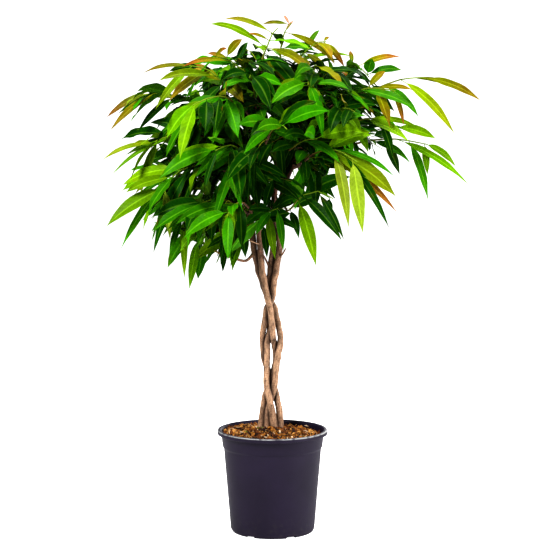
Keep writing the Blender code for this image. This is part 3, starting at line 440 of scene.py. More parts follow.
class Finishes:
    """All the materials of the plant and its pot, built once from their finishes."""

    def __init__(self) -> None:
        """Build the shared groups and then each material."""
        self.groups = SurfaceGroups()
        self.leaf = self.build_leaf()
        self.bark = self.build_bark()
        self.pot = self.build_pot()
        self.soil = self.build_soil()
        self.chips = self.build_chips()
        self.moss = self.build_moss()

    def build_leaf(self) -> Material:
        """Build the leaf skin, tinted by each leaf's own tone.

        Returns:
            The material.
        """
        finish = LeafFinish()
        make = MaterialMaker("leaf_skin")
        tint = make.attribute("tint", "Color")
        under = make.attribute("underside")
        inputs = {"Along": make.attribute("along"), "Across": make.attribute("across")}
        veins = make.group(self.groups.veins, {**inputs, "Vein Count": finish.vein_count})
        sizes = {"Colour": tint, "Patch Scale": 45.0, "Fine Scale": 220.0, "Variation": 0.30}
        grain = make.group(self.groups.grain, sizes)
        level = make.math("MULTIPLY_ADD", veins["Veins"], finish.vein_strength, 1.0)
        colour = make.scaled(grain["Colour"], level)
        colour = make.mix(make.times(under, finish.under_strength), colour, rgba(finish.under))
        colour = make.mix(make.times(veins["Margin"], finish.margin_strength), colour, rgba(finish.rib))
        place = make.add("ShaderNodeTexCoord", out="Object")
        marks = make.ramp(make.mottle(place, 38.0, 2.0), 0.62, 0.70)
        scorch = make.times(marks, make.math("MULTIPLY_ADD", veins["Margin"], 0.7, 0.08))
        colour = make.mix(scorch, colour, rgba(finish.scorch))
        pale_tint = make.mix(1.0, tint, (3.0, 3.0, 3.0, 1.0), "MULTIPLY")
        rib = make.mix(finish.rib_tint_share, rgba(finish.rib), pale_tint)
        colour = make.mix(make.times(veins["Rib"], finish.rib_strength), colour, rib)
        rough = make.math("MULTIPLY_ADD", under, finish.under_roughness - finish.roughness, finish.roughness)
        rough = make.math("MULTIPLY_ADD", grain["Height"], 0.12, rough)
        broad = make.ramp(make.attribute("half_width"), *finish.relief_fade)
        height = make.math("MULTIPLY_ADD", grain["Height"], 0.1, make.times(veins["Height"], broad))
        return make.finish(colour, rough, height, finish.relief, IOR=1.45, Specular_IOR_Level=finish.specular)

    def build_bark(self) -> Material:
        """Build the bark, darker with the wood's age attribute, at its knots and in painted shade between
        stems.

        Returns:
            The material.
        """
        finish = BarkFinish()
        make = MaterialMaker("ficus_bark")
        age = make.attribute("age")
        knot = make.attribute("knot")
        place = make.add("ShaderNodeTexCoord", out="Object")
        base = make.mix(age, rgba(finish.base), rgba(finish.aged))
        sizes = {"Colour": base, "Patch Scale": 110.0, "Fine Scale": 520.0, "Variation": 1.05,
                 "Stretch": (1.0, 1.0, 0.40)}
        grain = make.group(self.groups.grain, sizes)
        flat = make.vector("MULTIPLY", place, finish.lenticel_scale)
        lens = make.add("ShaderNodeTexVoronoi", {"Vector": flat, "Scale": 1.0, "Randomness": 1.0})
        kept = make.ramp(make.mottle(place, 95.0, 2.0), 0.42, 0.62)
        lens_share = make.times(make.math("SUBTRACT", 1.0, make.ramp(lens, 0.05, 0.34)), kept)
        fresh = make.math("MULTIPLY_ADD", age, -0.35, 0.50)
        colour = make.mix(make.times(lens_share, fresh), grain["Colour"], rgba(finish.light))
        fleck = make.mottle(make.vector("MULTIPLY", place, finish.fleck_scale), 1.0, 3.0)
        fleck_share = make.ramp(fleck, 0.53, 0.68)
        colour = make.mix(make.times(fleck_share, finish.fleck_strength), colour, rgba(finish.fleck))
        crack = make.mottle(make.vector("MULTIPLY", place, finish.crack_scale), 1.0, 2.0)
        crack_share = make.ramp(crack, 0.61, 0.76)
        colour = make.mix(make.times(crack_share, finish.crack_strength), colour, rgba(finish.crack))
        # The knot attribute holds the knots' stains and the painted shade where the stems touch.
        colour = make.mix(knot, colour, rgba(finish.crack))
        height = make.math("MULTIPLY_ADD", grain["Height"], 0.6, make.times(lens_share, 0.12))
        height = make.math("SUBTRACT", height, make.times(crack_share, 0.6))
        height = make.math("SUBTRACT", height, make.times(fleck_share, 0.3))
        return make.finish(colour, finish.roughness, height, finish.relief)

    def build_pot(self) -> Material:
        """Build the pot's plastic, with a pale highlight painted along the rim's edge and dusty at the foot.

        Returns:
            The material.
        """
        finish = PotFinish()
        make = MaterialMaker("pot_plastic")
        rubbed = make.attribute("rubbed")
        sizes = {"Colour": rgba(finish.base), "Patch Scale": 14.0, "Fine Scale": 900.0, "Variation": 0.30}
        grain = make.group(self.groups.grain, sizes)
        place = make.add("ShaderNodeTexCoord", out="Object")
        scuffs = make.mottle(place, 120.0, 4.0)
        # A pale highlight painted in patches along the rim's upper edge.
        highlight_share = make.times(rubbed, make.ramp(scuffs, 0.25, 0.60))
        colour = make.mix(highlight_share, grain["Colour"], rgba(finish.rubbed))
        height = make.add("ShaderNodeSeparateXYZ", {0: place}, out="Z")
        low = make.math("SUBTRACT", 1.0, make.ramp(height, 0.0, finish.dust_height))
        dust = make.times(low, make.ramp(scuffs, 0.45, 0.80))
        colour = make.mix(make.times(dust, 0.5), colour, rgba(finish.dust))
        rough = make.math("MULTIPLY_ADD", grain["Height"], 0.16, finish.roughness)
        rough = make.math("MULTIPLY_ADD", rubbed, -0.22, rough)
        return make.finish(colour, rough, grain["Height"], finish.relief, IOR=1.48,
                           Specular_IOR_Level=finish.specular)

    def build_soil(self) -> Material:
        """Build the damp soil under the chips.

        Returns:
            The material.
        """
        finish = SoilFinish()
        make = MaterialMaker("damp_soil")
        place = make.add("ShaderNodeTexCoord", out="Object")
        crumbs = make.add("ShaderNodeTexVoronoi", {"Vector": place, "Scale": 260.0})
        colour = make.mix(make.ramp(crumbs, 0.30, 0.05), rgba(finish.damp), rgba(finish.crumb))
        grain = make.group(self.groups.grain, {"Colour": colour, "Patch Scale": 90.0, "Variation": 0.7})
        return make.finish(grain["Colour"], finish.roughness, crumbs, finish.crumb_relief)

    def build_chips(self) -> Material:
        """Build the dry chips, each with its own tint and fibres along it.

        Returns:
            The material.
        """
        finish = SoilFinish()
        make = MaterialMaker("bark_chips")
        tint = make.attribute("tint", "Color")
        sizes = {"Colour": tint, "Patch Scale": 330.0, "Fine Scale": 1300.0, "Variation": 1.15}
        grain = make.group(self.groups.grain, sizes)
        return make.finish(grain["Colour"], finish.roughness, grain["Height"], finish.chip_relief)

    def build_moss(self) -> Material:
        """Build the moss.

        Returns:
            The material.
        """
        finish = MossFinish()
        make = MaterialMaker("soil_moss")
        sizes = {"Colour": rgba(finish.base), "Patch Scale": 300.0, "Variation": 0.8}
        grain = make.group(self.groups.grain, sizes)
        return make.finish(grain["Colour"], finish.roughness, grain["Height"], finish.relief)


def linked(name: str, mesh: Mesh) -> Object:
    """Make an object of a mesh, and put it in the scene.

    Args:
        name: The object's name.
        mesh: The mesh.

    Returns:
        The object.
    """
    made = bpy.data.objects.new(name, mesh)
    bpy.context.scene.collection.objects.link(made)
    return made


def turn_outwards(mesh: Mesh) -> None:
    """Point the faces of the closed shells of a mesh outwards.

    Args:
        mesh: The mesh.
    """
    shape = bmesh.new()
    shape.from_mesh(mesh)
    bmesh.ops.recalc_face_normals(shape, faces=shape.faces)
    shape.to_mesh(mesh)
    shape.free()


def grown(name: str, carrier: Mesh, tree: NodeTree, inputs: dict[str, object]) -> Mesh:
    """Run a Geometry Nodes tree on a carrier mesh.

    Args:
        name: The name of the resulting mesh.
        carrier: The mesh that the tree starts from. It is removed.
        tree: The tree.
        inputs: Values for the tree's inputs, by name.

    Returns:
        The plain mesh that the tree makes.
    """
    holder = linked(name + "_carrier", carrier)
    modifier = holder.modifiers.new("grow", "NODES")
    modifier.node_group = tree
    for item in tree.interface.items_tree:
        if item.in_out == "INPUT" and item.name in inputs:
            modifier[item.identifier] = inputs[item.name]
    depsgraph = bpy.context.evaluated_depsgraph_get()
    evaluated = holder.evaluated_get(depsgraph)
    mesh = bpy.data.meshes.new_from_object(evaluated, preserve_all_data_layers=True, depsgraph=depsgraph)
    mesh.name = name
    bpy.data.objects.remove(holder, do_unlink=True)
    bpy.data.meshes.remove(carrier)
    return mesh


def joined(name: str, meshes: list[Mesh]) -> Mesh:
    """Join meshes, with their attributes and materials, into one, and remove them.

    Args:
        name: The joined mesh's name.
        meshes: The meshes.

    Returns:
        The joined mesh.
    """
    parts = [linked(name + "_part", mesh) for mesh in meshes]
    with bpy.context.temp_override(active_object=parts[0], selected_editable_objects=parts):
        bpy.ops.object.join()
    mesh = parts[0].data
    mesh.name = name
    bpy.data.objects.remove(parts[0], do_unlink=True)
    return mesh


@dataclass
class RailPoint:
    """One point of a rail, as SweepTree reads it, with the tint and ageing of its surface."""

    place: Vector
    side: Vector
    up: Vector
    half_width: float
    half_depth: float
    along: float
    fold: float = 0.0
    ripple: float = 0.0
    tint: Colour = (1.0, 1.0, 1.0)
    age: float = 0.0
    knot: float = 0.0


Rail = list[RailPoint]


class SweepTree:
    """The tree that sweeps closed blades and stalks along rails.

    A rail is a line of points. Each has its place, the ways to its side and up, half a width, half a
    depth, how far its sides fold up, and how far they ripple.
    """

    VECTORS = ("place", "side", "up")
    NUMBERS = ("half_width", "half_depth", "fold", "ripple", "along")
    # How far the ripples lag at a blade's side, in ripples.
    RIPPLE_LAG = 0.21

    def __init__(self) -> None:
        """Build the tree."""
        self.tree = bpy.data.node_groups.new("sweep_rails", "GeometryNodeTree")
        sizes = {
            "Rails": ("Geometry", None), "Sides": ("Int", 12),
            "Ripples": ("Float", 3.5), "Finish": ("Material", None),
        }
        interface(self.tree, sizes, {"Geometry": "Geometry"})
        make = NodeMaker(self.tree)
        given = self.tree.nodes.new("NodeGroupInput").outputs
        rails = make.add("GeometryNodeMeshToCurve", {"Mesh": given["Rails"]})
        ring = make.add("GeometryNodeCurvePrimitiveCircle", {"Resolution": given["Sides"]}, mode="RADIUS")
        share = make.add("GeometryNodeSplineParameter", out="Factor")
        ring = make.store(ring, "turn", share)
        swept = {"Curve": rails, "Profile Curve": ring, "Fill Caps": True}
        shell = make.add("GeometryNodeCurveToMesh", swept)
        read = {name: self.read(make, name, "FLOAT_VECTOR") for name in self.VECTORS}
        read.update({name: self.read(make, name, "FLOAT") for name in (*self.NUMBERS, "turn")})
        angle = make.times(read["turn"], 2 * math.pi)
        across, above = make.math("COSINE", angle), make.math("SINE", angle)
        sideways = make.times(across, read["half_width"])
        span = make.math("ABSOLUTE", sideways)
        wave = make.math("MULTIPLY_ADD", read["along"], given["Ripples"], make.times(across, self.RIPPLE_LAG))
        wave = make.math("SINE", make.times(wave, 2 * math.pi))
        outer = make.times(across, across)
        lift = make.times(above, read["half_depth"])
        lift = make.math("ADD", lift, make.times(span, read["fold"]))
        lift = make.math("ADD", lift, make.times(wave, outer, read["ripple"]))
        place = make.vector("ADD", read["place"], make.scaled(read["side"], sideways))
        place = make.vector("ADD", place, make.scaled(read["up"], lift))
        shell = make.add("GeometryNodeSetPosition", {"Geometry": shell, "Position": place})
        under = make.math("LESS_THAN", above, -0.01)
        for name, value in (("across", across), ("underside", under)):
            shell = make.store(shell, name, value)
        shell = make.add("GeometryNodeSetShadeSmooth", {"Geometry": shell, "Shade Smooth": True})
        shell = make.add("GeometryNodeRealizeInstances", {"Geometry": shell})
        shell = make.add("GeometryNodeSetMaterial", {"Geometry": shell, "Material": given["Finish"]})
        self.tree.links.new(shell, self.tree.nodes.new("NodeGroupOutput").inputs["Geometry"])

    @staticmethod
    def read(make: NodeMaker, name: str, kind: str) -> Socket:
        """Read a named attribute inside the tree."""
        return make.add("GeometryNodeInputNamedAttribute", {"Name": name}, out="Attribute", data_type=kind)

    def grow(self, name: str, rails: list[Rail], sides: int, finish: Material,
             ripples: float = 0.0) -> Mesh:
        """Sweep a closed shell with a number of sides along each rail, with a number of ripples."""
        inputs = {"Sides": sides, "Ripples": ripples, "Finish": finish}
        return grown(name, rail_mesh("rails", rails), self.tree, inputs)


def rail_mesh(name: str, rails: list[Rail]) -> Mesh:
    """Make the carrier mesh of rails: lines of points with their attributes.

    Args:
        name: The mesh's name.
        rails: The rails.

    Returns:
        The mesh.
    """
    points = [point for rail in rails for point in rail]
    edges, start = [], 0
    for rail in rails:
        edges += [(start + i, start + i + 1) for i in range(len(rail) - 1)]
        start += len(rail)
    mesh = bpy.data.meshes.new(name)
    mesh.from_pydata([point.place for point in points], edges, [])
    for key in SweepTree.VECTORS:
        layer = mesh.attributes.new(key, "FLOAT_VECTOR", "POINT")
        layer.data.foreach_set("vector", [number for point in points for number in getattr(point, key)])
    for key in (*SweepTree.NUMBERS, "age", "knot"):
        layer = mesh.attributes.new(key, "FLOAT", "POINT")
        layer.data.foreach_set("value", [getattr(point, key) for point in points])
    layer = mesh.attributes.new("tint", "FLOAT_COLOR", "POINT")
    layer.data.foreach_set("color", [number for point in points for number in rgba(point.tint)])
    return mesh


def smooth_path(points: Points, count: int) -> Points:
    """Give points evenly spread along a smooth curve through the given ones.

    Args:
        points: The points that the curve passes.
        count: How many points come back.

    Returns:
        The even points.
    """
    guides = [2 * points[0] - points[1], *points, 2 * points[-1] - points[-2]]
    steps = 12
    fine = []
    for a, b, c, d in zip(guides, guides[1:], guides[2:], guides[3:]):
        for step in range(steps):
            t = step / steps
            bend = (2 * a - 5 * b + 4 * c - d) * t * t + (3 * b - a - 3 * c + d) * t ** 3
            fine.append(0.5 * (2 * b + (c - a) * t + bend))
    fine.append(points[-1])
    return even_path(fine, count)


def even_path(path: Points, count: int) -> Points:
    """Give points evenly spread along a path.

    Args:
        path: The points of the path.
        count: How many points come back.

    Returns:
        The even points.
    """
    lengths = [0.0]
    for a, b in zip(path, path[1:]):
        lengths.append(lengths[-1] + (b - a).length)
    even, i = [], 0
    for k in range(count):
        wanted = lengths[-1] * k / (count - 1)
        while i < len(path) - 2 and lengths[i + 1] < wanted:
            i += 1
        step = lengths[i + 1] - lengths[i]
        even.append(path[i].lerp(path[i + 1], (wanted - lengths[i]) / step if step else 0.0))
    return even


def path_ways(path: Points) -> Points:
    """Give the direction of a path at each of its points."""
    return [(b - a).normalized() for a, b in zip([path[0]] + path[:-1], path[1:] + [path[-1]])]


def round_rail(path: Points, radii: list[float], **looks) -> Rail:
    """Make the rail of a round stalk.

    Args:
        path: The points of its middle line.
        radii: Its radius at each point.
        looks: Tint, age and knot of the surface, each one value or one for each point.

    Returns:
        The rail.
    """
    rail = []
    side = path_ways(path)[0].orthogonal()
    for i, (point, way, radius) in enumerate(zip(path, path_ways(path), radii)):
        side = (side - way * side.dot(way)).normalized()
        here = {key: value[i] if isinstance(value, list) else value for key, value in looks.items()}
        rail.append(RailPoint(point, side, way.cross(side), radius, radius, i / (len(path) - 1), **here))
    return rail


@dataclass(frozen=True)
class Blade:
    """One leaf as the frame holds it: the curve of its rib, the way its top faces, and its width."""

    root: Vector
    bend: Vector
    tip: Vector
    facing: Vector
    width: float

    @property
    def length(self) -> float:
        """Give the straight length from root to tip."""
        return (self.tip - self.root).length

    def at(self, share: float) -> Vector:
        """Find a point of the rib's curve."""
        return (1 - share) ** 2 * self.root + 2 * share * (1 - share) * self.bend + share ** 2 * self.tip

    def way(self, share: float) -> Vector:
        """Give the direction of the rib's curve at a share of it."""
        return ((1 - share) * (self.bend - self.root) + share * (self.tip - self.bend)).normalized()


class MeshGraph:
    """The corners of a frame node's merged mesh, and which of them an edge joins."""

    RING_SLACK = 0.003

    def __init__(self, node: Object) -> None:
        """Merge a copy of the node's mesh, and note its edges.

        Args:
            node: The frame's node.
        """
        shape = bmesh.new()
        shape.from_mesh(node.data)
        bmesh.ops.remove_doubles(shape, verts=shape.verts, dist=MERGE)
        self.near = {vert.co.copy().freeze(): [] for vert in shape.verts}
        for edge in shape.edges:
            a, b = (vert.co.copy().freeze() for vert in edge.verts)
            self.near[a].append(b)
            self.near[b].append(a)
        shape.free()

    def walk(self, ring: set[Vector], left: set[Vector]) -> Rings:
        """Walk a tube ring by ring, as long as each ring has about as many corners as the first.

        Args:
            ring: The corners of the first ring.
            left: The corners that the walk may use.

        Returns:
            The middle and the radius of each ring.
        """
        sides, rings = len(ring), []
        while sides - 1 <= len(ring) <= sides:
            middle = sum(ring, Vector()) / len(ring)
            rings.append((middle, self.ring_radius(ring)))
            left = left - ring
            after = {other for point in ring for other in self.near[point] if other in left}
            reach = min(((point - middle).length for point in after), default=0.0) + self.RING_SLACK
            ring = {point for point in after if (point - middle).length < reach}
        return rings

    @staticmethod
    def ring_radius(ring: set[Vector]) -> float:
        """Give the radius of a ring of corners."""
        middle = sum(ring, Vector()) / len(ring)
        return sum((point - middle).length for point in ring) / len(ring)


class ShootReader(MeshGraph):
    """Reads the leaves and the twig of one leafy shoot from its node in the frame."""

    # The frame's leaves have two rings of four corners, at these shares of the rib, and a tip.
    STATIONS = (0.34, 0.70)
    SHORTEST_TIP = 0.004
    RIB_THICKNESS = 0.0013
    THICKNESS_SLACK = 1e-4
    NARROWING = 0.72
    NARROWING_SLACK = 0.02
    TWIG_SIDES = 3

    def __init__(self, node: Object) -> None:
        """Read the node's leaves, and then its twig from the corners that are left.

        Args:
            node: The frame's node.
        """
        super().__init__(node)
        self.blades: list[Blade] = []
        used = set()
        for tip, ring in self.near.items():
            corners = self.read_leaf(tip, ring)
            if corners:
                used.update(corners)
                used.add(tip)
        self.twig = self.read_twig({point for point in self.near if point not in used})

    def read_leaf(self, tip: Vector, ring: Points) -> Points:
        """Read the leaf that ends at a point, if one does.

        Args:
            tip: The point.
            ring: The points joined to it.

        Returns:
            The corners of the leaf, or nothing if the point is no tip.
        """
        if len(ring) != 4 or min((point - tip).length for point in ring) < self.SHORTEST_TIP:
            return []
        pairs = [(a, b) for i, a in enumerate(ring) for b in ring[i + 1:] if b not in self.near[a]]
        if len(pairs) != 2:
            return []
        pairs.sort(key=lambda pair: (pair[0] - pair[1]).length)
        (rib, low), (left, right) = pairs
        if abs((rib - low).length - self.RIB_THICKNESS) > self.THICKNESS_SLACK:
            return []
        middle = (left + right) / 2
        if (low - middle).length < (rib - middle).length:
            rib, low = low, rib
        above, below = ([point for point in self.near[end] if point not in ring and point != tip]
                        for end in (rib, low))
        edges = [point for point in above if point in below]
        ribs = [point for point in above if point not in below]
        lows = [point for point in below if point not in above]
        if len(edges) != 2 or len(ribs) != 1 or len(lows) != 1:
            return []
        width = (edges[0] - edges[1]).length
        if abs((left - right).length / width - self.NARROWING) > self.NARROWING_SLACK:
            return []
        self.blades.append(self.blade_through(ribs[0], rib, tip, rib - low, width))
        return ring + edges + ribs + lows

    def blade_through(self, first: Vector, second: Vector, tip: Vector, up: Vector, width: float) -> Blade:
        """Find the curve that passes two points of the rib at the known stations and ends at the tip.

        Args:
            first: The rib's point at the first station.
            second: Its point at the second station.
            tip: Its end.
            up: The way that the leaf faces there.
            width: The leaf's width.

        Returns:
            The leaf.
        """
        (a1, b1, c1), (a2, b2, c2) = [((1 - u) ** 2, 2 * u * (1 - u), u * u) for u in self.STATIONS]
        p1, p2 = first - c1 * tip, second - c2 * tip
        share = a1 * b2 - a2 * b1
        root = (b2 * p1 - b1 * p2) / share
        bend = (a1 * p2 - a2 * p1) / share
        return Blade(root, bend, tip, up.normalized(), width)

    def read_twig(self, left: set[Vector]) -> Rings:
        """Find the thick end of the twig's tube, and walk the tube from there.

        Args:
            left: The corners that belong to no leaf.

        Returns:
            The middle and the radius of each ring.
        """
        ends = []
        for point in left:
            close = [other for other in self.near[point] if other in left]
            rings = [{point, a, b} for a in close for b in close if a != b and b in self.near[a]]
            ends += [ring for ring in rings if self.is_end(ring, left)]
        return self.walk(max(ends, key=self.ring_radius), left)

    def is_end(self, ring: set[Vector], left: set[Vector]) -> bool:
        """Tell whether three joined corners end the tube: the ring after them then has three too."""
        after = {other for point in ring for other in self.near[point] if other in left} - ring
        return len(after) == self.TWIG_SIDES


@dataclass
class LeafMaker:
    """Turns the frame's leaves into fine blades: a stalk, a waved folded blade and a drawn-out tip."""

    # The places along a leaf where its rail has points.
    shares: tuple[float, ...] = (
        0.0, 0.04, 0.08, 0.115, 0.15, 0.20, 0.27, 0.35, 0.44, 0.53, 0.62, 0.71, 0.79, 0.86, 0.92, 0.965, 1.0)
    # The blade's half width at places along it, as shares of its length and of half its width.
    outline: tuple[Pair, ...] = (
        (0.0, 0.0), (0.05, 0.26), (0.12, 0.58), (0.22, 0.87), (0.34, 1.03), (0.45, 1.06), (0.57, 1.02),
        (0.69, 0.89), (0.79, 0.66), (0.88, 0.39), (0.94, 0.17), (1.0, 0.0))
    stalk_share: float = 0.10
    stalk_radius: float = 0.00065
    stalk_root: float = 0.0009
    # From here on, the stalk inside the blade thins to the tip.
    thin_from: float = 0.9
    thin_slope: float = 6.0
    tip_radius: float = 0.0001
    blade_depth: float = 0.00032
    # From this half width on, a blade is as thin as it gets.
    flat_from: float = 0.004
    fold: float = 0.30
    folds: Pair = (0.25, 1.5)
    droop: float = 0.035
    droop_from: float = 0.55
    droop_growth: float = 5.0
    twist: float = 0.60
    twist_from: float = 0.25
    bow: float = 0.02
    ripple: float = 0.058
    ripples: Pair = (0.4, 1.6)
    ripple_rise: float = 4.0

    def half_width(self, share: float, width: float) -> float:
        """Give half the width of the blade at a place along the leaf.

        Args:
            share: The share of the leaf's length.
            width: The leaf's width.

        Returns:
            The half width, or 0 along the stalk.
        """
        t = (share - self.stalk_share) / (1.0 - self.stalk_share)
        if t <= 0.0:
            return 0.0
        for (t1, w1), (t2, w2) in zip(self.outline, self.outline[1:]):
            if t <= t2:
                return width / 2 * (w1 + (w2 - w1) * (t - t1) / (t2 - t1))
        return 0.0

    def rail(self, blade: Blade, tint: "BladeTint", draw: Draw) -> Rail:
        """Make the rail of one leaf.

        Args:
            blade: The leaf as the frame holds it.
            tint: The colours of its upper side.
            draw: The source of its small differences.

        Returns:
            The rail.
        """
        twist = draw.uniform(-1.0, 1.0) * self.twist
        fold = self.fold * draw.uniform(*self.folds)
        ripple = self.ripple * blade.width * draw.uniform(*self.ripples)
        bow = draw.uniform(-1.0, 1.0) * self.bow * blade.length
        phase = draw.uniform(0.0, 1.0)
        rail = []
        for share in self.shares:
            way = blade.way(share)
            side = way.cross(blade.facing).normalized()
            up = side.cross(way)
            turn = Matrix.Rotation(twist * max(0.0, share - self.twist_from), 3, way)
            side, up = turn @ side, turn @ up
            place = blade.at(share) + side * bow * math.sin(math.pi * share)
            fall = max(0.0, share - self.droop_from) ** 2
            place.z -= self.droop * blade.length * fall * self.droop_growth
            if share == 0.0:
                place -= way * self.stalk_root
            width = self.half_width(share, blade.width)
            stalk = self.stalk_radius
            if share >= self.thin_from:
                stalk = self.stalk_radius * (1.0 - share) * self.thin_slope + self.tip_radius
            depth = stalk + (self.blade_depth - stalk) * min(1.0, width / self.flat_from)
            wave = ripple * min(1.0, self.ripple_rise * width / blade.width) if width else 0.0
            rail.append(RailPoint(place, side, up, max(width, stalk), min(depth, stalk), share + phase, fold,
                                  wave, tint.at(share)))
        return rail


@dataclass(frozen=True)
class BladeTint:
    """The colours of one blade, which runs from its base's colour to its tip's."""

    CHANGE_FROM = 0.30
    CHANGE_LENGTH = 0.60

    base: Colour
    tip: Colour

    def at(self, share: float) -> Colour:
        """Give the colour at a share of the leaf's length."""
        reach = clamped((share - self.CHANGE_FROM) / self.CHANGE_LENGTH)
        return tuple(Vector(self.base).lerp(Vector(self.tip), reach * reach * (3.0 - 2.0 * reach)))


class ToneRule:
    """Gives each leaf its tone: as the photograph shows it, or else by its place in the crown."""

    # How close in millimetres a tip is to one that the photograph shows, and how far forward in metres.
    REACH = 16.0
    FRONT = 0.06
    # Width and height in millimetres of the tips of the leaves that the photograph shows.
    SHOWN = {
        Tone.FRESH: ((-115, 960), (150, 905), (-305, 690), (-265, 655), (-300, 595), (-155, 470),
            (-165, 495), (-75, 510), (-190, 760), (5, 530), (160, 765), (90, 785), (80, 520), (345, 695),
            (365, 665), (270, 770), (245, 745), (300, 750), (175, 725), (285, 685)),
        Tone.OLIVE: ((-90, 970), (115, 890), (-20, 960), (100, 875), (-55, 930), (-185, 820), (-235, 870),
            (-300, 765), (390, 820), (210, 870), (185, 795), (260, 835)),
        Tone.BRONZE: ((-45, 940), (105, 935), (135, 880), (-80, 910), (-120, 910), (-155, 885), (-310, 790),
            (225, 625), (240, 900), (145, 910), (345, 845), (240, 775)),
        Tone.PINK: ((20, 975), (45, 970)),
        Tone.GREEN: ((85, 950), (-275, 550), (-275, 615), (-195, 510), (-140, 485), (-220, 575),
            (-190, 525), (-105, 600), (-130, 690), (-105, 745), (-60, 755), (20, 545), (0, 765), (115, 715),
            (215, 680), (185, 895), (240, 875), (270, 790), (260, 810), (290, 635), (255, 705), (45, 620),
            (105, 635)),
        Tone.DARK: ((-45, 925), (-190, 870), (-290, 795), (-250, 765), (-220, 545), (-50, 530),
            (-75, 525), (-95, 520), (-55, 650), (-120, 660), (-120, 770), (-10, 530), (50, 585), (205, 605),
            (125, 570), (50, 570), (100, 590), (220, 715), (240, 680), (80, 625), (120, 645)),
        Tone.YELLOW: ((-205, 860), (-210, 805), (-260, 735), (-315, 710), (-245, 650), (220, 655),
            (340, 760)),
        Tone.PALE: ((-275, 820), (-185, 570), (135, 600), (160, 590)),
    }
    # The share that each tone has of the leaves in a part of the crown.
    TOP = {Tone.OLIVE: 3, Tone.FRESH: 3, Tone.GREEN: 3, Tone.BRONZE: 2}
    OUTER = {Tone.FRESH: 4, Tone.GREEN: 3, Tone.YELLOW: 2, Tone.OLIVE: 1, Tone.BRONZE: 0.6}
    # The body and the inner crown draw more of the dark tone: older leaves, and also painted shade inside the
    # crown.
    BODY = {Tone.GREEN: 5, Tone.FRESH: 1.5, Tone.DARK: 5, Tone.OLIVE: 0.4}
    INNER_DARK_AND_SHADED = {Tone.DARK: 7, Tone.GREEN: 2}
    # The crown's centre and half its sizes, and the limits of its parts, in shares of it or in metres.
    CENTRE = Vector((0.020, 0.0, 0.690))
    REACHES = Vector((0.33, 0.30, 0.27))
    INNER_TO = 0.55
    OUTER_FROM = 0.95
    TOP_FROM = 0.19
    # The share of its length at which a leaf's place is taken.
    MIDDLE = 0.7
    # The tones at the base and at the tip of a leaf, where they differ from its main tone.
    ENDS = {
        Tone.BRONZE: (Tone.OLIVE, Tone.BRONZE, 1.0),
        Tone.OLIVE: (Tone.OLIVE, Tone.BRONZE, 0.45),
        Tone.FRESH: (Tone.FRESH, Tone.YELLOW, 0.25),
        Tone.YELLOW: (Tone.YELLOW, Tone.BRONZE, 0.20),
    }

    @staticmethod
    def drawn(shares: dict[Tone, float], source: Draw) -> Tone:
        """Draw a tone by the shares that the tones have."""
        return source.choices(list(shares), list(shares.values()))[0]

    def tint(self, tone: Tone, source: Draw) -> BladeTint:
        """Give the colours of one leaf of a tone, a little lighter or darker by draw.

        Args:
            tone: The leaf's tone.
            source: The source of draws.

        Returns:
            The leaf's colours.
        """
        level, warmth = source.uniform(0.75, 1.25), source.uniform(0.85, 1.20)
        base, end, share = self.ENDS.get(tone, (tone, tone, 0.0))
        ends = []
        for colour in (Vector(base.value), Vector(base.value).lerp(Vector(end.value), share)):
            ends.append((colour.x * level * warmth, colour.y * level, colour.z * level))
        return BladeTint(*ends)

    def tone(self, blade: Blade, source: Draw) -> Tone:
        """Choose the tone of a leaf.

        Args:
            blade: The leaf.
            source: The source of draws.

        Returns:
            The tone.
        """
        tip = blade.tip / MM
        if blade.tip.y < self.FRONT:
            marks = [(math.hypot(tip.x - x, tip.z - z), tone)
                     for tone, places in self.SHOWN.items() for x, z in places]
            away, nearest = min(marks, key=lambda mark: mark[0])
            if away < self.REACH:
                return nearest
        offset = blade.at(self.MIDDLE) - self.CENTRE
        depth = Vector([offset[i] / self.REACHES[i] for i in range(3)]).length
        # Leaves deep in the crown take the darkest tones, partly as painted shade.
        if depth < self.INNER_TO:
            return self.drawn(self.INNER_DARK_AND_SHADED, source)
        if offset.z > self.TOP_FROM:
            return self.drawn(self.TOP, source)
        return self.drawn(self.OUTER if depth > self.OUTER_FROM else self.BODY, source)


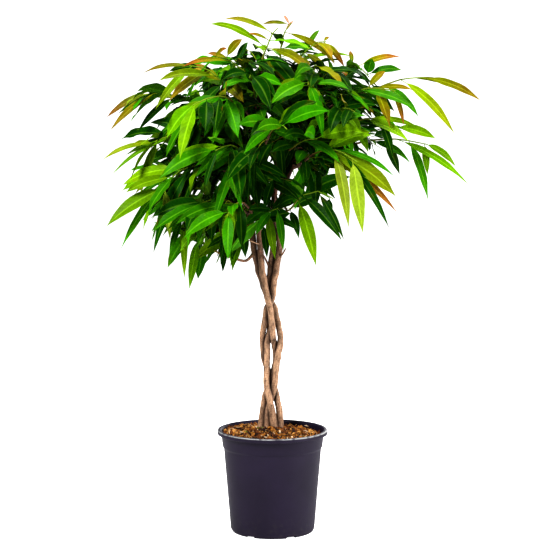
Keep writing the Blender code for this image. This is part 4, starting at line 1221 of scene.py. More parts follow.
@dataclass
class LeafyShoots:
    """The leafy shoots: each twig with its leaves, read from the frame and made fine."""

    sweep: SweepTree
    leaf: Material
    room: "Room"
    blade_sides: int = 12
    twig_sides: int = 8
    maker: LeafMaker = field(default_factory=LeafMaker)
    tones: ToneRule = field(default_factory=ToneRule)
    green_wood: Colour = (0.13, 0.19, 0.015)
    brown_wood: Colour = (0.13, 0.060, 0.028)
    twig_slimness: float = 0.90
    twig_points: int = 30
    # How far a twig goes into its branch.
    twig_root: float = 0.001
    ripples: float = 2.8
    # The first points of a leaf's rail, in its stalk, may cross other leaves.
    stalk_points: int = 3
    first_seed: int = 900

    def twig_rail(self, twig: Rings) -> Rail:
        """Make the rail of a twig: brown where it leaves its branch, and green at its end.

        Args:
            twig: The middle and the radius of each ring of the twig.

        Returns:
            The rail.
        """
        count = self.twig_points
        path = smooth_path([middle for middle, _ in twig], count)
        path[0] = path[0] - (path[1] - path[0]).normalized() * self.twig_root
        shares = [i / (count - 1) for i in range(count)]
        radii = [self.twig_slimness * (twig[0][1] + (twig[-1][1] - twig[0][1]) * share) for share in shares]
        tints = [tuple(Vector(self.brown_wood).lerp(Vector(self.green_wood), min(1.0, 2.0 * share)))
                 for share in shares]
        return round_rail(path, radii, tint=tints)

    def build(self) -> dict[str, "ShootReader"]:
        """Build a piece for each shoot of the frame.

        Returns:
            What was read of each shoot, by the name of its node.
        """
        read = {}
        names = sorted(name for name in frame["nodes"] if name.startswith("shoot_"))
        for number, name in enumerate(names):
            shoot = ShootReader(frame["nodes"][name])
            draw = Draw(self.first_seed + number)
            rails = []
            for blade in shoot.blades:
                tint = self.tones.tint(self.tones.tone(blade, draw), draw)
                rails.append(self.maker.rail(blade, tint, draw))
            for rail in rails:
                self.room.take(rail[self.stalk_points:], always=True)
            leaves = self.sweep.grow(name + "_leaves", rails, self.blade_sides, self.leaf, self.ripples)
            twig_rails = [self.twig_rail(shoot.twig)]
            twig = self.sweep.grow(name + "_twig", twig_rails, self.twig_sides, self.leaf)
            mesh = joined("leafy_" + name, [leaves, twig])
            turn_outwards(mesh)
            mesh.set_sharp_from_angle(angle=MARGIN_ANGLE)
            piece = linked("leafy_" + name, mesh)
            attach(piece, "root")
            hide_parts(name)
            read[name] = shoot
            LOG.info("%s: %d leaves, %d faces", piece.name, len(shoot.blades), len(mesh.polygons))
        return read


class Stem(Enum):
    """The four stems of the braid, by where they leave it at the crown."""

    LEFT = "left"
    FRONT = "front"
    RIGHT = "right"
    MIDDLE = "middle"


@dataclass(frozen=True)
class Knot:
    """A knot of a stem: its height, the side that it faces in degrees from +X, and its size."""

    stem: Stem
    height: float
    side: float
    size: float
    dark: float = 1.0


@dataclass(frozen=True)
class Offshoot:
    """A bare side branch: the places that it passes in millimetres, its two radii, and its age."""

    stem: Stem
    path: tuple[Triple, ...]
    first_radius: float
    last_radius: float
    age: float


class Braid:
    """The middle lines of the four stems, as the frame's stems have them, in millimetres."""

    HEIGHTS = (199, 226, 241, 257, 272, 287, 305, 318, 333, 347,
               366, 385, 398, 419, 442, 457, 470, 499, 537, 565)
    PLACES = {
        Stem.LEFT: (
            (-10, 21), (-8, 20), (-5, 20), (-2, 17), (2, 14), (5, 9), (6, 9), (8, 9), (10, 8), (13, 7),
            (14, 12), (13, 15), (10, 16), (4, 20), (-7, 23), (-12, 16), (-18, 15), (-27, 15), (-35, 14),
            (-38, 14),
        ),
        Stem.FRONT: (
            (-21, 26), (-18, 27), (-16, 26), (-14, 22), (-9, 19), (-4, 19), (2, 21), (6, 22), (7, 21),
            (5, 18), (1, 8), (0, 6), (-1, 5), (-4, 2), (-8, 0), (-12, 3), (-14, 3), (-20, 5), (-23, 7),
            (-25, 5),
        ),
        Stem.RIGHT: (
            (14, 21), (13, 21), (10, 22), (7, 26), (3, 27), (-3, 32), (-9, 29), (-14, 25), (-17, 22),
            (-18, 22), (-18, 22), (-17, 16), (-15, 12), (-11, 11), (-2, 12), (1, 12), (2, 10), (7, 8),
            (13, 7), (14, 7),
        ),
        Stem.MIDDLE: (
            (3, 15), (-1, 10), (-4, 8), (-6, 6), (-10, 7), (-12, 9), (-11, 11), (-11, 12), (-10, 12),
            (-10, 12), (-8, 16), (-6, 19), (-6, 22), (-4, 29), (-6, 35), (-7, 27), (-6, 20), (-4, 15),
            (1, 12), (2, 14),
        ),
    }
    LEADERS = {
        Stem.LEFT: ((-43, 18, 610), (-52, 28, 660), (-75, 45, 730), (-95, 55, 790)),
        Stem.FRONT: ((-28, -8, 610), (-32, -25, 665), (-30, -42, 740), (-28, -48, 800), (-20, -45, 850)),
        Stem.RIGHT: ((13, 0, 610), (25, -14, 665), (52, -22, 730), (78, -22, 790)),
        Stem.MIDDLE: ((2, 24, 610), (6, 42, 665), (14, 52, 740), (18, 40, 800), (16, 26, 860)),
    }
    # The least distance of two stems, and the height between two levels, in metres.
    SPACING = 0.0122
    STEP = 0.0140
    ROUNDS = 40

    def __init__(self) -> None:
        """Work out the lines."""
        first, last = self.HEIGHTS[0], self.HEIGHTS[-1]
        steps = round((last - first) * MM / self.STEP)
        heights = [first + (last - first) * i / steps for i in range(steps + 1)]
        levels = [self.level(height) for height in heights]
        self.part(levels)
        self.paths = {}
        for stem in Stem:
            path = [Vector((*level[stem], height * MM)) for level, height in zip(levels, heights)]
            leader = [Vector(point) * MM for point in self.LEADERS[stem]]
            self.paths[stem] = path + smooth_path([path[-1]] + leader, 2 * len(leader) + 1)[1:]

    def level(self, height: float) -> dict[Stem, Vector]:
        """Place the four stems at one height as the table has them.

        Args:
            height: The height in millimetres.

        Returns:
            The place of each stem in metres.
        """
        at = max(i for i, z in enumerate(self.HEIGHTS[:-1]) if z <= height)
        share = (height - self.HEIGHTS[at]) / (self.HEIGHTS[at + 1] - self.HEIGHTS[at])
        share = share * share * (3 - 2 * share)
        return {stem: Vector(rows[at]).lerp(Vector(rows[at + 1]), share) * MM
                for stem, rows in self.PLACES.items()}

    def part(self, levels: list[dict[Stem, Vector]]) -> None:
        """Push the stems apart, at the levels and halfway between, as in the frame.

        Args:
            levels: The places of the stems at each level, which are moved.
        """
        names = sorted(levels[0], key=lambda stem: stem.value)
        pairs = [(one, two) for i, one in enumerate(names) for two in names[i + 1:]]
        for _ in range(self.ROUNDS):
            for now, after in zip(levels, levels[1:] + [levels[-1]]):
                for one, two in self.order(pairs, levels[0]):
                    for share in (0.0, 0.5):
                        apart = now[two].lerp(after[two], share) - now[one].lerp(after[one], share)
                        push = apart.normalized() * max(0.0, self.SPACING - apart.length) / 3
                        for at in (now, after):
                            at[one] = at[one] - push
                            at[two] = at[two] + push

    @staticmethod
    def order(pairs: list[tuple], level: dict[Stem, Vector]) -> list[tuple]:
        """Put the pairs in the order of the stems in a level."""
        rank = {stem: i for i, stem in enumerate(level)}
        return sorted(pairs, key=lambda pair: (rank[pair[0]], rank[pair[1]]))


@dataclass
class WoodyStems:
    """The four braided stems with their bark, knots and branches."""

    sweep: SweepTree
    bark: Material
    braid: Braid
    sides: int = 24
    branch_sides: int = 10
    step: float = 0.0026
    radius: float = 0.0060
    top_radius: float = 0.0028
    foot_depth: float = 0.030
    flare: float = 0.0016
    flare_height: float = 0.030
    waviness: float = 0.07
    wave_scale: Triple = (60.0, 60.0, 40.0)
    # The bark ages from this height on, and is fully aged this much higher.
    age_from: float = 0.44
    age_height: float = 0.16
    # Points along a stem, where a place on it is looked up.
    path_points: int = 400
    foot_points: int = 300
    # A branch: how far its shoot may stand off, how many rings are read, its length if only one is, the
    # length that four of its points cover, and its radius, age and ageing from the stem on.
    branch_gap: float = 0.004
    branch_rings: int = 3
    branch_length: float = 0.05
    branch_pace: float = 0.008
    branch_radius: float = 0.0030
    branch_age: float = 0.55
    branch_ageing: float = 0.3
    offshoot_points: int = 14
    # Within the first distance of another stem, in radii, shade is painted onto the bark over the second.
    shade_reach: float = 2.70
    shade_fade: float = 1.40
    shade_curve: float = 1.5
    darkest_shade: float = 0.92
    # Height and scale of the bark's coarse and fine relief.
    reliefs: tuple[tuple[float, Triple], ...] = (
        (0.00055, (330.0, 330.0, 120.0)), (0.00030, (160.0, 160.0, 420.0)))
    # A knot's swelling, the dip in its middle, and how much narrower than it the dip and the stain are.
    knot_rise: float = 0.0017
    knot_dip: float = 0.0011
    dip_narrowness: float = 6.0
    stain_narrowness: float = 4.0
    knots: tuple[Knot, ...] = (
        Knot(Stem.FRONT, 0.366, -80.0, 0.0042), Knot(Stem.RIGHT, 0.343, -100.0, 0.0040),
        Knot(Stem.MIDDLE, 0.351, -95.0, 0.0036, 0.3), Knot(Stem.MIDDLE, 0.287, -100.0, 0.0034),
        Knot(Stem.MIDDLE, 0.241, -70.0, 0.0034), Knot(Stem.FRONT, 0.232, -110.0, 0.0036),
        Knot(Stem.RIGHT, 0.215, -60.0, 0.0034), Knot(Stem.RIGHT, 0.300, -130.0, 0.0030),
        Knot(Stem.LEFT, 0.330, -40.0, 0.0034), Knot(Stem.LEFT, 0.395, -60.0, 0.0032, 0.5),
        Knot(Stem.FRONT, 0.430, -90.0, 0.0030, 0.6), Knot(Stem.RIGHT, 0.470, -70.0, 0.0032),
        Knot(Stem.FRONT, 0.520, -110.0, 0.0030), Knot(Stem.LEFT, 0.500, -100.0, 0.0030, 0.6),
        Knot(Stem.MIDDLE, 0.500, -80.0, 0.0028),
    )
    offshoots: tuple[Offshoot, ...] = (
        Offshoot(Stem.MIDDLE, ((-4, 14, 497), (-10, 6, 512), (-18, -2, 528), (-25, -8, 537)),
                 0.0022, 0.0014, 0.9),
        Offshoot(Stem.FRONT, ((-20, 5, 545), (-36, -4, 552), (-52, -10, 558)), 0.0012, 0.0008, 0.1),
        Offshoot(Stem.RIGHT, ((11, 8, 522), (18, 0, 528), (25, -4, 540)), 0.0020, 0.0011, 0.7),
        Offshoot(Stem.RIGHT, ((13, 6, 545), (12, 2, 560), (11, -2, 577)), 0.0020, 0.0013, 0.4),
    )

    def radius_at(self, point: Vector, top: float) -> float:
        """Give a stem's radius: flared at the soil, even in the braid, and thinner in the crown.

        Args:
            point: A point of its middle line.
            top: The height of its end.

        Returns:
            The radius.
        """
        crown = Braid.HEIGHTS[-1] * MM
        foot = Braid.HEIGHTS[0] * MM
        share = clamped((point.z - crown) / (top - crown))
        flare = self.flare * math.exp(-max(0.0, point.z - foot) / self.flare_height)
        wave = 1.0 + self.waviness * noise_at(point, self.wave_scale)
        return (self.radius + (self.top_radius - self.radius) * share + flare) * wave

    def age_at(self, height: float) -> float:
        """Give how dark and red the bark is at a height: the crown's wood is darker."""
        return clamped((height - self.age_from) / self.age_height)

    def stem_rail(self, stem: Stem) -> Rail:
        """Make the rail of one stem, from its foot in the soil to the end of its leader.

        Args:
            stem: The stem.

        Returns:
            The rail.
        """
        path = self.braid.paths[stem]
        foot = path[0] - (path[1] - path[0]).normalized() * self.foot_depth
        length = sum((b - a).length for a, b in zip(path, path[1:])) + self.foot_depth
        fine = smooth_path([foot] + path, round(length / self.step))
        radii = [self.radius_at(point, path[-1].z) for point in fine]
        return round_rail(fine, radii, age=[self.age_at(point.z) for point in fine])

    def branch_rail(self, shoot: ShootReader, graph: MeshGraph, stem: Stem) -> Rail:
        """Make the rail of the branch that carries a shoot.

        Args:
            shoot: The shoot.
            graph: The corners of the stem's node.
            stem: The stem.

        Returns:
            The rail, or nothing if the branch leaves another stem.
        """
        start = shoot.twig[0][0]
        close = sorted(graph.near, key=lambda point: (point - start).length)[:shoot.TWIG_SIDES]
        if (close[-1] - start).length > self.branch_gap:
            return []
        rings = graph.walk(set(close), set(graph.near))[:self.branch_rings]
        points = [middle for middle, _ in rings]
        reach = (points[1] - points[0]).length if len(points) > 1 else self.branch_length
        path = even_path(self.braid.paths[stem], self.foot_points)
        ahead = points[-2] - points[-1] if len(points) > 1 else points[0] - path[len(path) // 2]
        behind = [point for point in path if (points[-1] - point).dot(ahead) > 0.0] or path
        foot = min(behind, key=lambda point: abs((point - points[-1]).length - reach))
        count = max(8, round(4 * reach / self.branch_pace))
        line = smooth_path([foot] + points[::-1], count)
        ages = [self.branch_age + self.branch_ageing * i / count for i in range(count)]
        return round_rail(line, tapered(self.branch_radius, rings[0][1], count), age=ages)

    def painted_crevice_shade(self, stem: Stem) -> Callable[[Vector], float]:
        """Make the measure of how close a place is to the other stems, where shade is painted onto the bark.

        Args:
            stem: The stem whose bark it is.

        Returns:
            The measure.
        """
        others = [path for name, path in self.braid.paths.items() if name is not stem]
        tree = KDTree(len(others) * self.path_points)
        for k, path in enumerate(others):
            for i, point in enumerate(even_path(path, self.path_points)):
                tree.insert(point, self.path_points * k + i)
        tree.balance()

        def measure(place: Vector) -> float:
            """Give the share of painted shade at a place on the bark."""
            away = tree.find(place)[2] / self.radius
            return clamped((self.shade_reach - away) / self.shade_fade) ** self.shade_curve

        return measure

    def roughen(self, mesh: Mesh, stem: Stem) -> None:
        """Give the bark its relief, raise its knots and paint shade on it where the stems touch.

        Args:
            mesh: The stem's mesh. Its corners are moved.
            stem: The stem.
        """
        crevice_shade_at = self.painted_crevice_shade(stem)
        knots = [knot for knot in self.knots if knot.stem is stem]
        path = even_path(self.braid.paths[stem], self.path_points)
        centres = []
        for knot in knots:
            middle = min(path, key=lambda point: abs(point.z - knot.height))
            turn = math.radians(knot.side)
            centres.append(middle + Vector((math.cos(turn), math.sin(turn), 0.0)) * self.radius)
        moves, stains_and_shade = [], []
        for vertex in mesh.vertices:
            place, normal = vertex.co, vertex.normal
            rise = sum(height * noise_at(place, scale) for height, scale in self.reliefs)
            # Painted shade near the other stems; the knots' stains join it below, and both go to the knot
            # attribute.
            dark = self.darkest_shade * crevice_shade_at(place)
            for knot, centre in zip(knots, centres):
                away = (place - centre).length / knot.size
                swelling = self.knot_rise * math.exp(-away * away)
                rise += swelling - self.knot_dip * math.exp(-self.dip_narrowness * away * away)
                dark = max(dark, knot.dark * math.exp(-self.stain_narrowness * away * away))
            moves.append(place + normal * rise)
            stains_and_shade.append(dark)
        for vertex, place in zip(mesh.vertices, moves):
            vertex.co = place
        mesh.attributes["knot"].data.foreach_set("value", stains_and_shade)

    def build(self, shoots: dict[str, ShootReader]) -> dict[Stem, list[Points]]:
        """Build a piece for each stem.

        Args:
            shoots: What was read of each shoot.

        Returns:
            The middle lines of each stem's branches.
        """
        lines = {}
        for stem in Stem:
            name = "stem_" + stem.value
            graph = MeshGraph(frame["nodes"][name])
            rails = [self.branch_rail(shoot, graph, stem) for shoot in shoots.values()]
            rails = [rail for rail in rails if rail]
            lines[stem] = [[point.place for point in rail] for rail in rails]
            for off in self.offshoots:
                if off.stem is stem:
                    path = smooth_path([Vector(point) * MM for point in off.path], self.offshoot_points)
                    radii = tapered(off.first_radius, off.last_radius, len(path))
                    rails.append(round_rail(path, radii, age=off.age))
            trunk = self.sweep.grow(name + "_trunk", [self.stem_rail(stem)], self.sides, self.bark)
            turn_outwards(trunk)
            self.roughen(trunk, stem)
            branches = self.sweep.grow(name + "_branches", rails, self.branch_sides, self.bark)
            mesh = joined("bark_" + name, [trunk, branches])
            turn_outwards(mesh)
            piece = linked("bark_" + name, mesh)
            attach(piece, "root")
            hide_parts(name)
            LOG.info("%s: %d branches, %d faces", piece.name, len(lines[stem]), len(mesh.polygons))
        return lines


class Room:
    """The room that leaves take up, to keep new leaves from crossing others."""

    def __init__(self) -> None:
        """Start with no leaf."""
        self.trees: list[BVHTree] = []
        self.lows: Points = []
        self.highs: Points = []

    @staticmethod
    def strip(rail: Rail) -> tuple[Points, list[tuple[int, ...]]]:
        """Make a plain strip of faces that follows a blade, for the test of crossing.

        Args:
            rail: The blade's rail.

        Returns:
            The corners and the faces of the strip.
        """
        corners = []
        for point in rail:
            lift = point.up * point.half_width * point.fold
            corners += [point.place - point.side * point.half_width + lift, point.place,
                        point.place + point.side * point.half_width + lift]
        faces = []
        for i in range(0, len(corners) - 3, 3):
            faces += [(i, i + 1, i + 4, i + 3), (i + 1, i + 2, i + 5, i + 4)]
        return corners, faces

    def take(self, rail: Rail, always: bool = False) -> bool:
        """Take the room of a blade if it is free.

        Args:
            rail: The blade's rail, from beyond its root on.
            always: Take it also where it crosses another blade.

        Returns:
            Whether the blade has its room.
        """
        corners, faces = self.strip(rail)
        low = np.min(corners, axis=0)
        high = np.max(corners, axis=0)
        tree = BVHTree.FromPolygons(corners, faces)
        if not always and self.trees:
            near = np.all(np.array(self.lows) < high, axis=1) & np.all(np.array(self.highs) > low, axis=1)
            if any(tree.overlap(self.trees[i]) for i in np.flatnonzero(near)):
                return False
        self.trees.append(tree)
        self.lows.append(low)
        self.highs.append(high)
        return True


@dataclass
class InnerFoliage:
    """Thin side twigs with more leaves, which fill the crown between the frame's shoots."""

    sweep: SweepTree
    leaf: Material
    room: Room
    twigs_per_branch: int = 3
    leaves_per_twig: int = 7
    # How often a leaf is drawn again when it has no room.
    tries: int = 8
    twig_lengths: Pair = (0.055, 0.120)
    twig_droop: float = 0.25
    twig_points: int = 12
    twig_radii: Pair = (0.0010, 0.0005)
    twig_sides: int = 6
    # The first point of a twig with a leaf, and the points of a leaf's rail that lie in its stalk.
    first_leaf: int = 2
    stalk_points: int = 2
    lengths: Pair = (0.055, 0.095)
    widths: Pair = (0.016, 0.024)
    # The share of its drawn width that the shortest leaf tends to.
    slimmest: float = 0.6
    leaf_bend: float = 0.13
    # How low it hangs left and right: the height, its rise for each metre outwards, and where that starts.
    floors: tuple[Triple, Triple] = ((0.505, 0.55, 0.150), (0.605, 0.75, 0.060))
    # The left one goes over into the right one from this place across, over this width.
    change_from: float = -0.070
    change_width: float = 0.045
    ripples: float = 3.0
    first_seed: int = 4000
    sides: int = 8
    centre: Vector = field(default_factory=lambda: Vector((0.020, 0.0, 0.690)))
    reaches: Vector = field(default_factory=lambda: Vector((0.27, 0.24, 0.235)))
    maker: LeafMaker = field(default_factory=lambda: LeafMaker(
        shares=(0.0, 0.07, 0.115, 0.17, 0.27, 0.40, 0.55, 0.70, 0.83, 0.93, 1.0)))
    tones: ToneRule = field(default_factory=ToneRule)
    brown_wood: Colour = (0.10, 0.040, 0.018)
    green_wood: Colour = (0.24, 0.29, 0.020)

    def inside(self, place: Vector) -> bool:
        """Tell whether a place lies within the crown."""
        shares = [number / reach for number, reach in zip(place - self.centre, self.reaches)]
        return sum(share ** 2 for share in shares) < 1.0 and place.z > self.lowest(place)

    def lowest(self, place: Vector) -> float:
        """Give the height below which nothing hangs: high round the bare stems, and rising outwards."""
        left, right = (low + rise * max(0.0, place.xy.length - start) for low, rise, start in self.floors)
        return left + (right - left) * clamped((place.x - self.change_from) / self.change_width)

    def side_twig(self, line: Points, draw: Draw) -> Points:
        """Draw a side twig that leaves a branch outwards and bends down.

        Args:
            line: The branch's middle line.
            draw: The source of draws.

        Returns:
            The twig's middle line.
        """
        root = line[int(draw.uniform(0.25, 0.98) * (len(line) - 1))]
        outward = (root - self.centre).normalized() * draw.uniform(0.2, 0.9)
        way = outward + Vector((draw.uniform(-1, 1), draw.uniform(-1, 1), draw.uniform(-0.4, 0.9)))
        way.normalize()
        length = draw.uniform(*self.twig_lengths)
        middle = root + way * length * 0.5
        end = root + way * length - Vector((0.0, 0.0, length * self.twig_droop))
        return smooth_path([root, middle, end], self.twig_points)

    def leaf_rail(self, root: Vector, twig_way: Vector, draw: Draw) -> Rail:
        """Draw a leaf that leaves a twig sideways and hangs.

        Args:
            root: Where it leaves the twig.
            twig_way: The twig's direction there.
            draw: The source of draws.

        Returns:
            The leaf's rail, or nothing if its tip is outside the crown.
        """
        outward = (root - self.centre).normalized()
        way = Vector((draw.uniform(-1, 1), draw.uniform(-1, 1), draw.uniform(-0.6, 0.3)))
        way = way.normalized() + twig_way * 0.5 + outward * draw.uniform(0.0, 0.5)
        way.z -= draw.uniform(0.15, 0.9)
        way.normalize()
        length = draw.uniform(*self.lengths)
        tip = root + way * length
        bend = (root + tip) / 2 + Vector((0.0, 0.0, self.leaf_bend * length))
        facing = outward * 0.6 + Vector((draw.uniform(-0.3, 0.3), draw.uniform(-0.4, 0.2), 0.5))
        if not self.inside(tip):
            return []
        full = self.slimmest + (1.0 - self.slimmest) * length / self.lengths[1]
        blade = Blade(root, bend, tip, facing.normalized(), draw.uniform(*self.widths) * full)
        # Inner leaves take the inner crown's dark tones, partly as painted shade.
        return self.maker.rail(blade, self.tones.tint(self.tones.drawn(self.tones.INNER_DARK_AND_SHADED, draw), draw), draw)

    def twig_leaves(self, path: Points, draw: Draw) -> list[Rail]:
        """Draw the leaves of a side twig that find room.

        Args:
            path: The twig's middle line.
            draw: The source of draws.

        Returns:
            Their rails.
        """
        ways, leaves = path_ways(path), []
        last = self.leaves_per_twig - 1
        for k in range(self.leaves_per_twig):
            at = self.first_leaf + round((len(path) - 1 - self.first_leaf) * k / last)
            for _ in range(self.tries):
                rail = self.leaf_rail(path[at], ways[at], draw)
                if rail and self.room.take(rail[self.stalk_points:]):
                    leaves.append(rail)
                    break
        return leaves

    def build(self, lines: dict[Stem, list[Points]]) -> None:
        """Build one piece of inner foliage for each stem.

        Args:
            lines: The middle lines of each stem's branches.
        """
        for number, (stem, branches) in enumerate(lines.items()):
            draw = Draw(self.first_seed + number)
            twigs, leaves = [], []
            for line in branches:
                for _ in range(self.twigs_per_branch):
                    path = self.side_twig(line, draw)
                    if not self.inside(path[-1]):
                        continue
                    wood = tuple(Vector(self.brown_wood).lerp(Vector(self.green_wood), draw.random()))
                    twigs.append(round_rail(path, tapered(*self.twig_radii, len(path)), tint=wood))
                    leaves += self.twig_leaves(path, draw)
            blades = self.sweep.grow("inner_blades", leaves, self.sides, self.leaf, self.ripples)
            wood = self.sweep.grow("inner_wood", twigs, self.twig_sides, self.leaf)
            mesh = joined("inner_foliage_" + stem.value, [blades, wood])
            turn_outwards(mesh)
            mesh.set_sharp_from_angle(angle=MARGIN_ANGLE)
            piece = linked("inner_foliage_" + stem.value, mesh)
            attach(piece, "root")
            LOG.info("%s: %d leaves, %d twigs, %d faces", piece.name, len(leaves), len(twigs),
                     len(mesh.polygons))


@dataclass
class NurseryPot:
    """The round moulded pot: rolled rim, collar, tapered wall, raised floor and notched foot ring."""

    finish: Material
    height: float = 0.195
    rim_radius: float = 0.105
    rim_depth: float = 0.0085
    collar_top: float = 0.0977
    collar_bottom: float = 0.0948
    step_height: float = 0.160
    step_radius: float = 0.0926
    base_radius: float = 0.0798
    wall: float = 0.0018
    floor_lift: float = 0.004
    foot_width: float = 0.0085
    notch_count: int = 6
    notch_size: Triple = (0.034, 0.019, 0.0064)
    first_notch: float = math.radians(-63.0)
    # The painted highlight line's middle below and inside the rim's corner, and half its width.
    highlight_drop: float = 0.0006
    highlight_inset: float = 0.0008
    highlight_reach: float = 0.0020
    segments: int = 144
    crease: float = math.radians(38.0)

    def corners(self) -> list[Triple]:
        """List the corners of the wall's profile as radius, height and rounding.

        Returns:
            The corners, from the middle of the underside out and back to the floor.
        """
        rim_bottom = self.height - self.rim_depth
        foot = self.base_radius - 0.003
        floor_top = self.floor_lift + self.wall
        return [
            (0.0, self.floor_lift, 0.0),
            (foot - self.foot_width - 0.002, self.floor_lift, 0.001),
            (foot - self.foot_width, 0.0, 0.0006),
            (foot, 0.0, 0.0012),
            (self.base_radius, 0.005, 0.004),
            (self.step_radius, self.step_height - 0.001, 0.0012),
            (self.collar_bottom, self.step_height + 0.003, 0.0012),
            (self.collar_top, rim_bottom, 0.0008),
            (self.rim_radius, rim_bottom, 0.0022),
            (self.rim_radius, self.height, 0.0026),
            (self.collar_top + 0.0008, self.height, 0.0012),
            (self.collar_top - self.wall, self.height - 0.003, 0.0010),
            (self.collar_bottom - self.wall, self.step_height + 0.001, 0.0010),
            (self.step_radius - self.wall, self.step_height - 0.003, 0.0010),
            (self.base_radius - self.wall, floor_top, 0.003),
            (0.0, floor_top, 0.0),
        ]

    @staticmethod
    def rounded(corners: list[Triple], steps: int = 4) -> list[Pair]:
        """Round the corners of a profile.

        Args:
            corners: Radius, height and rounding of each corner.
            steps: How many lengths each rounding has.

        Returns:
            The points of the rounded profile.
        """
        points = [corners[0][:2]]
        for before, here, after in zip(corners, corners[1:], corners[2:]):
            corner = Vector(here[:2])
            back, on = Vector(before[:2]) - corner, Vector(after[:2]) - corner
            reach = min(here[2], 0.45 * back.length, 0.45 * on.length)
            start, end = corner + back.normalized() * reach, corner + on.normalized() * reach
            for i in range(steps + 1):
                t = i / steps
                points.append(tuple((1 - t) ** 2 * start + 2 * t * (1 - t) * corner + t * t * end))
        return points + [corners[-1][:2]]

    def turned_wall(self) -> Mesh:
        """Turn the profile round the axis.

        Returns:
            The mesh of the pot without its notches.
        """
        shape = bmesh.new()
        line = [shape.verts.new((radius, 0.0, height)) for radius, height in self.rounded(self.corners())]
        edges = [shape.edges.new(pair) for pair in zip(line, line[1:])]
        bmesh.ops.spin(shape, geom=line + edges, cent=(0, 0, 0), axis=(0, 0, 1), angle=2 * math.pi,
                       steps=self.segments, use_merge=True)
        bmesh.ops.remove_doubles(shape, verts=shape.verts, dist=MERGE)
        bmesh.ops.recalc_face_normals(shape, faces=shape.faces)
        mesh = bpy.data.meshes.new("nursery_pot")
        shape.to_mesh(mesh)
        shape.free()
        return mesh

    def notch_cutter(self) -> Object:
        """Make the blocks that cut the notches of the foot ring, as one object.

        Returns:
            The object, which is in the scene until the pot is cut.
        """
        shape = bmesh.new()
        for i in range(self.notch_count):
            turn = Matrix.Rotation(self.first_notch + 2 * math.pi * i / self.notch_count, 4, "Z")
            move = Matrix.Translation((self.base_radius - self.foot_width, 0.0, 0.0))
            size = Matrix.Diagonal((*self.notch_size, 1.0))
            bmesh.ops.create_cube(shape, size=1.0, matrix=turn @ move @ size)
        mesh = bpy.data.meshes.new("notches")
        shape.to_mesh(mesh)
        shape.free()
        return linked("notches", mesh)

    def paint_rim_highlight(self, mesh: Mesh) -> None:
        """Mark where a pale highlight is painted, along the upper edge of the rim.

        Args:
            mesh: The pot's mesh.
        """
        marks = []
        for vertex in mesh.vertices:
            below = vertex.co.z - self.height + self.highlight_drop
            inside = vertex.co.xy.length - self.rim_radius + self.highlight_inset
            marks.append(max(0.0, 1.0 - math.hypot(below, inside) / self.highlight_reach))
        layer = mesh.attributes.new("rubbed", "FLOAT", "POINT")
        layer.data.foreach_set("value", marks)

    def build(self) -> None:
        """Turn the pot, cut its notches and dress it."""
        pot = linked("nursery_pot", self.turned_wall())
        cutter = self.notch_cutter()
        cut = pot.modifiers.new("notches", "BOOLEAN")
        cut.operation = "DIFFERENCE"
        cut.object = cutter
        cut.solver = "EXACT"
        depsgraph = bpy.context.evaluated_depsgraph_get()
        mesh = bpy.data.meshes.new_from_object(pot.evaluated_get(depsgraph), depsgraph=depsgraph)
        pot.modifiers.clear()
        pot.data = mesh
        bpy.data.objects.remove(cutter, do_unlink=True)
        self.paint_rim_highlight(mesh)
        mesh.materials.clear()
        mesh.materials.append(self.finish)
        mesh.shade_smooth()
        mesh.set_sharp_from_angle(angle=self.crease)
        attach(pot, "root")
        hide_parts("pot")
        LOG.info("%s: %d faces", pot.name, len(mesh.polygons))


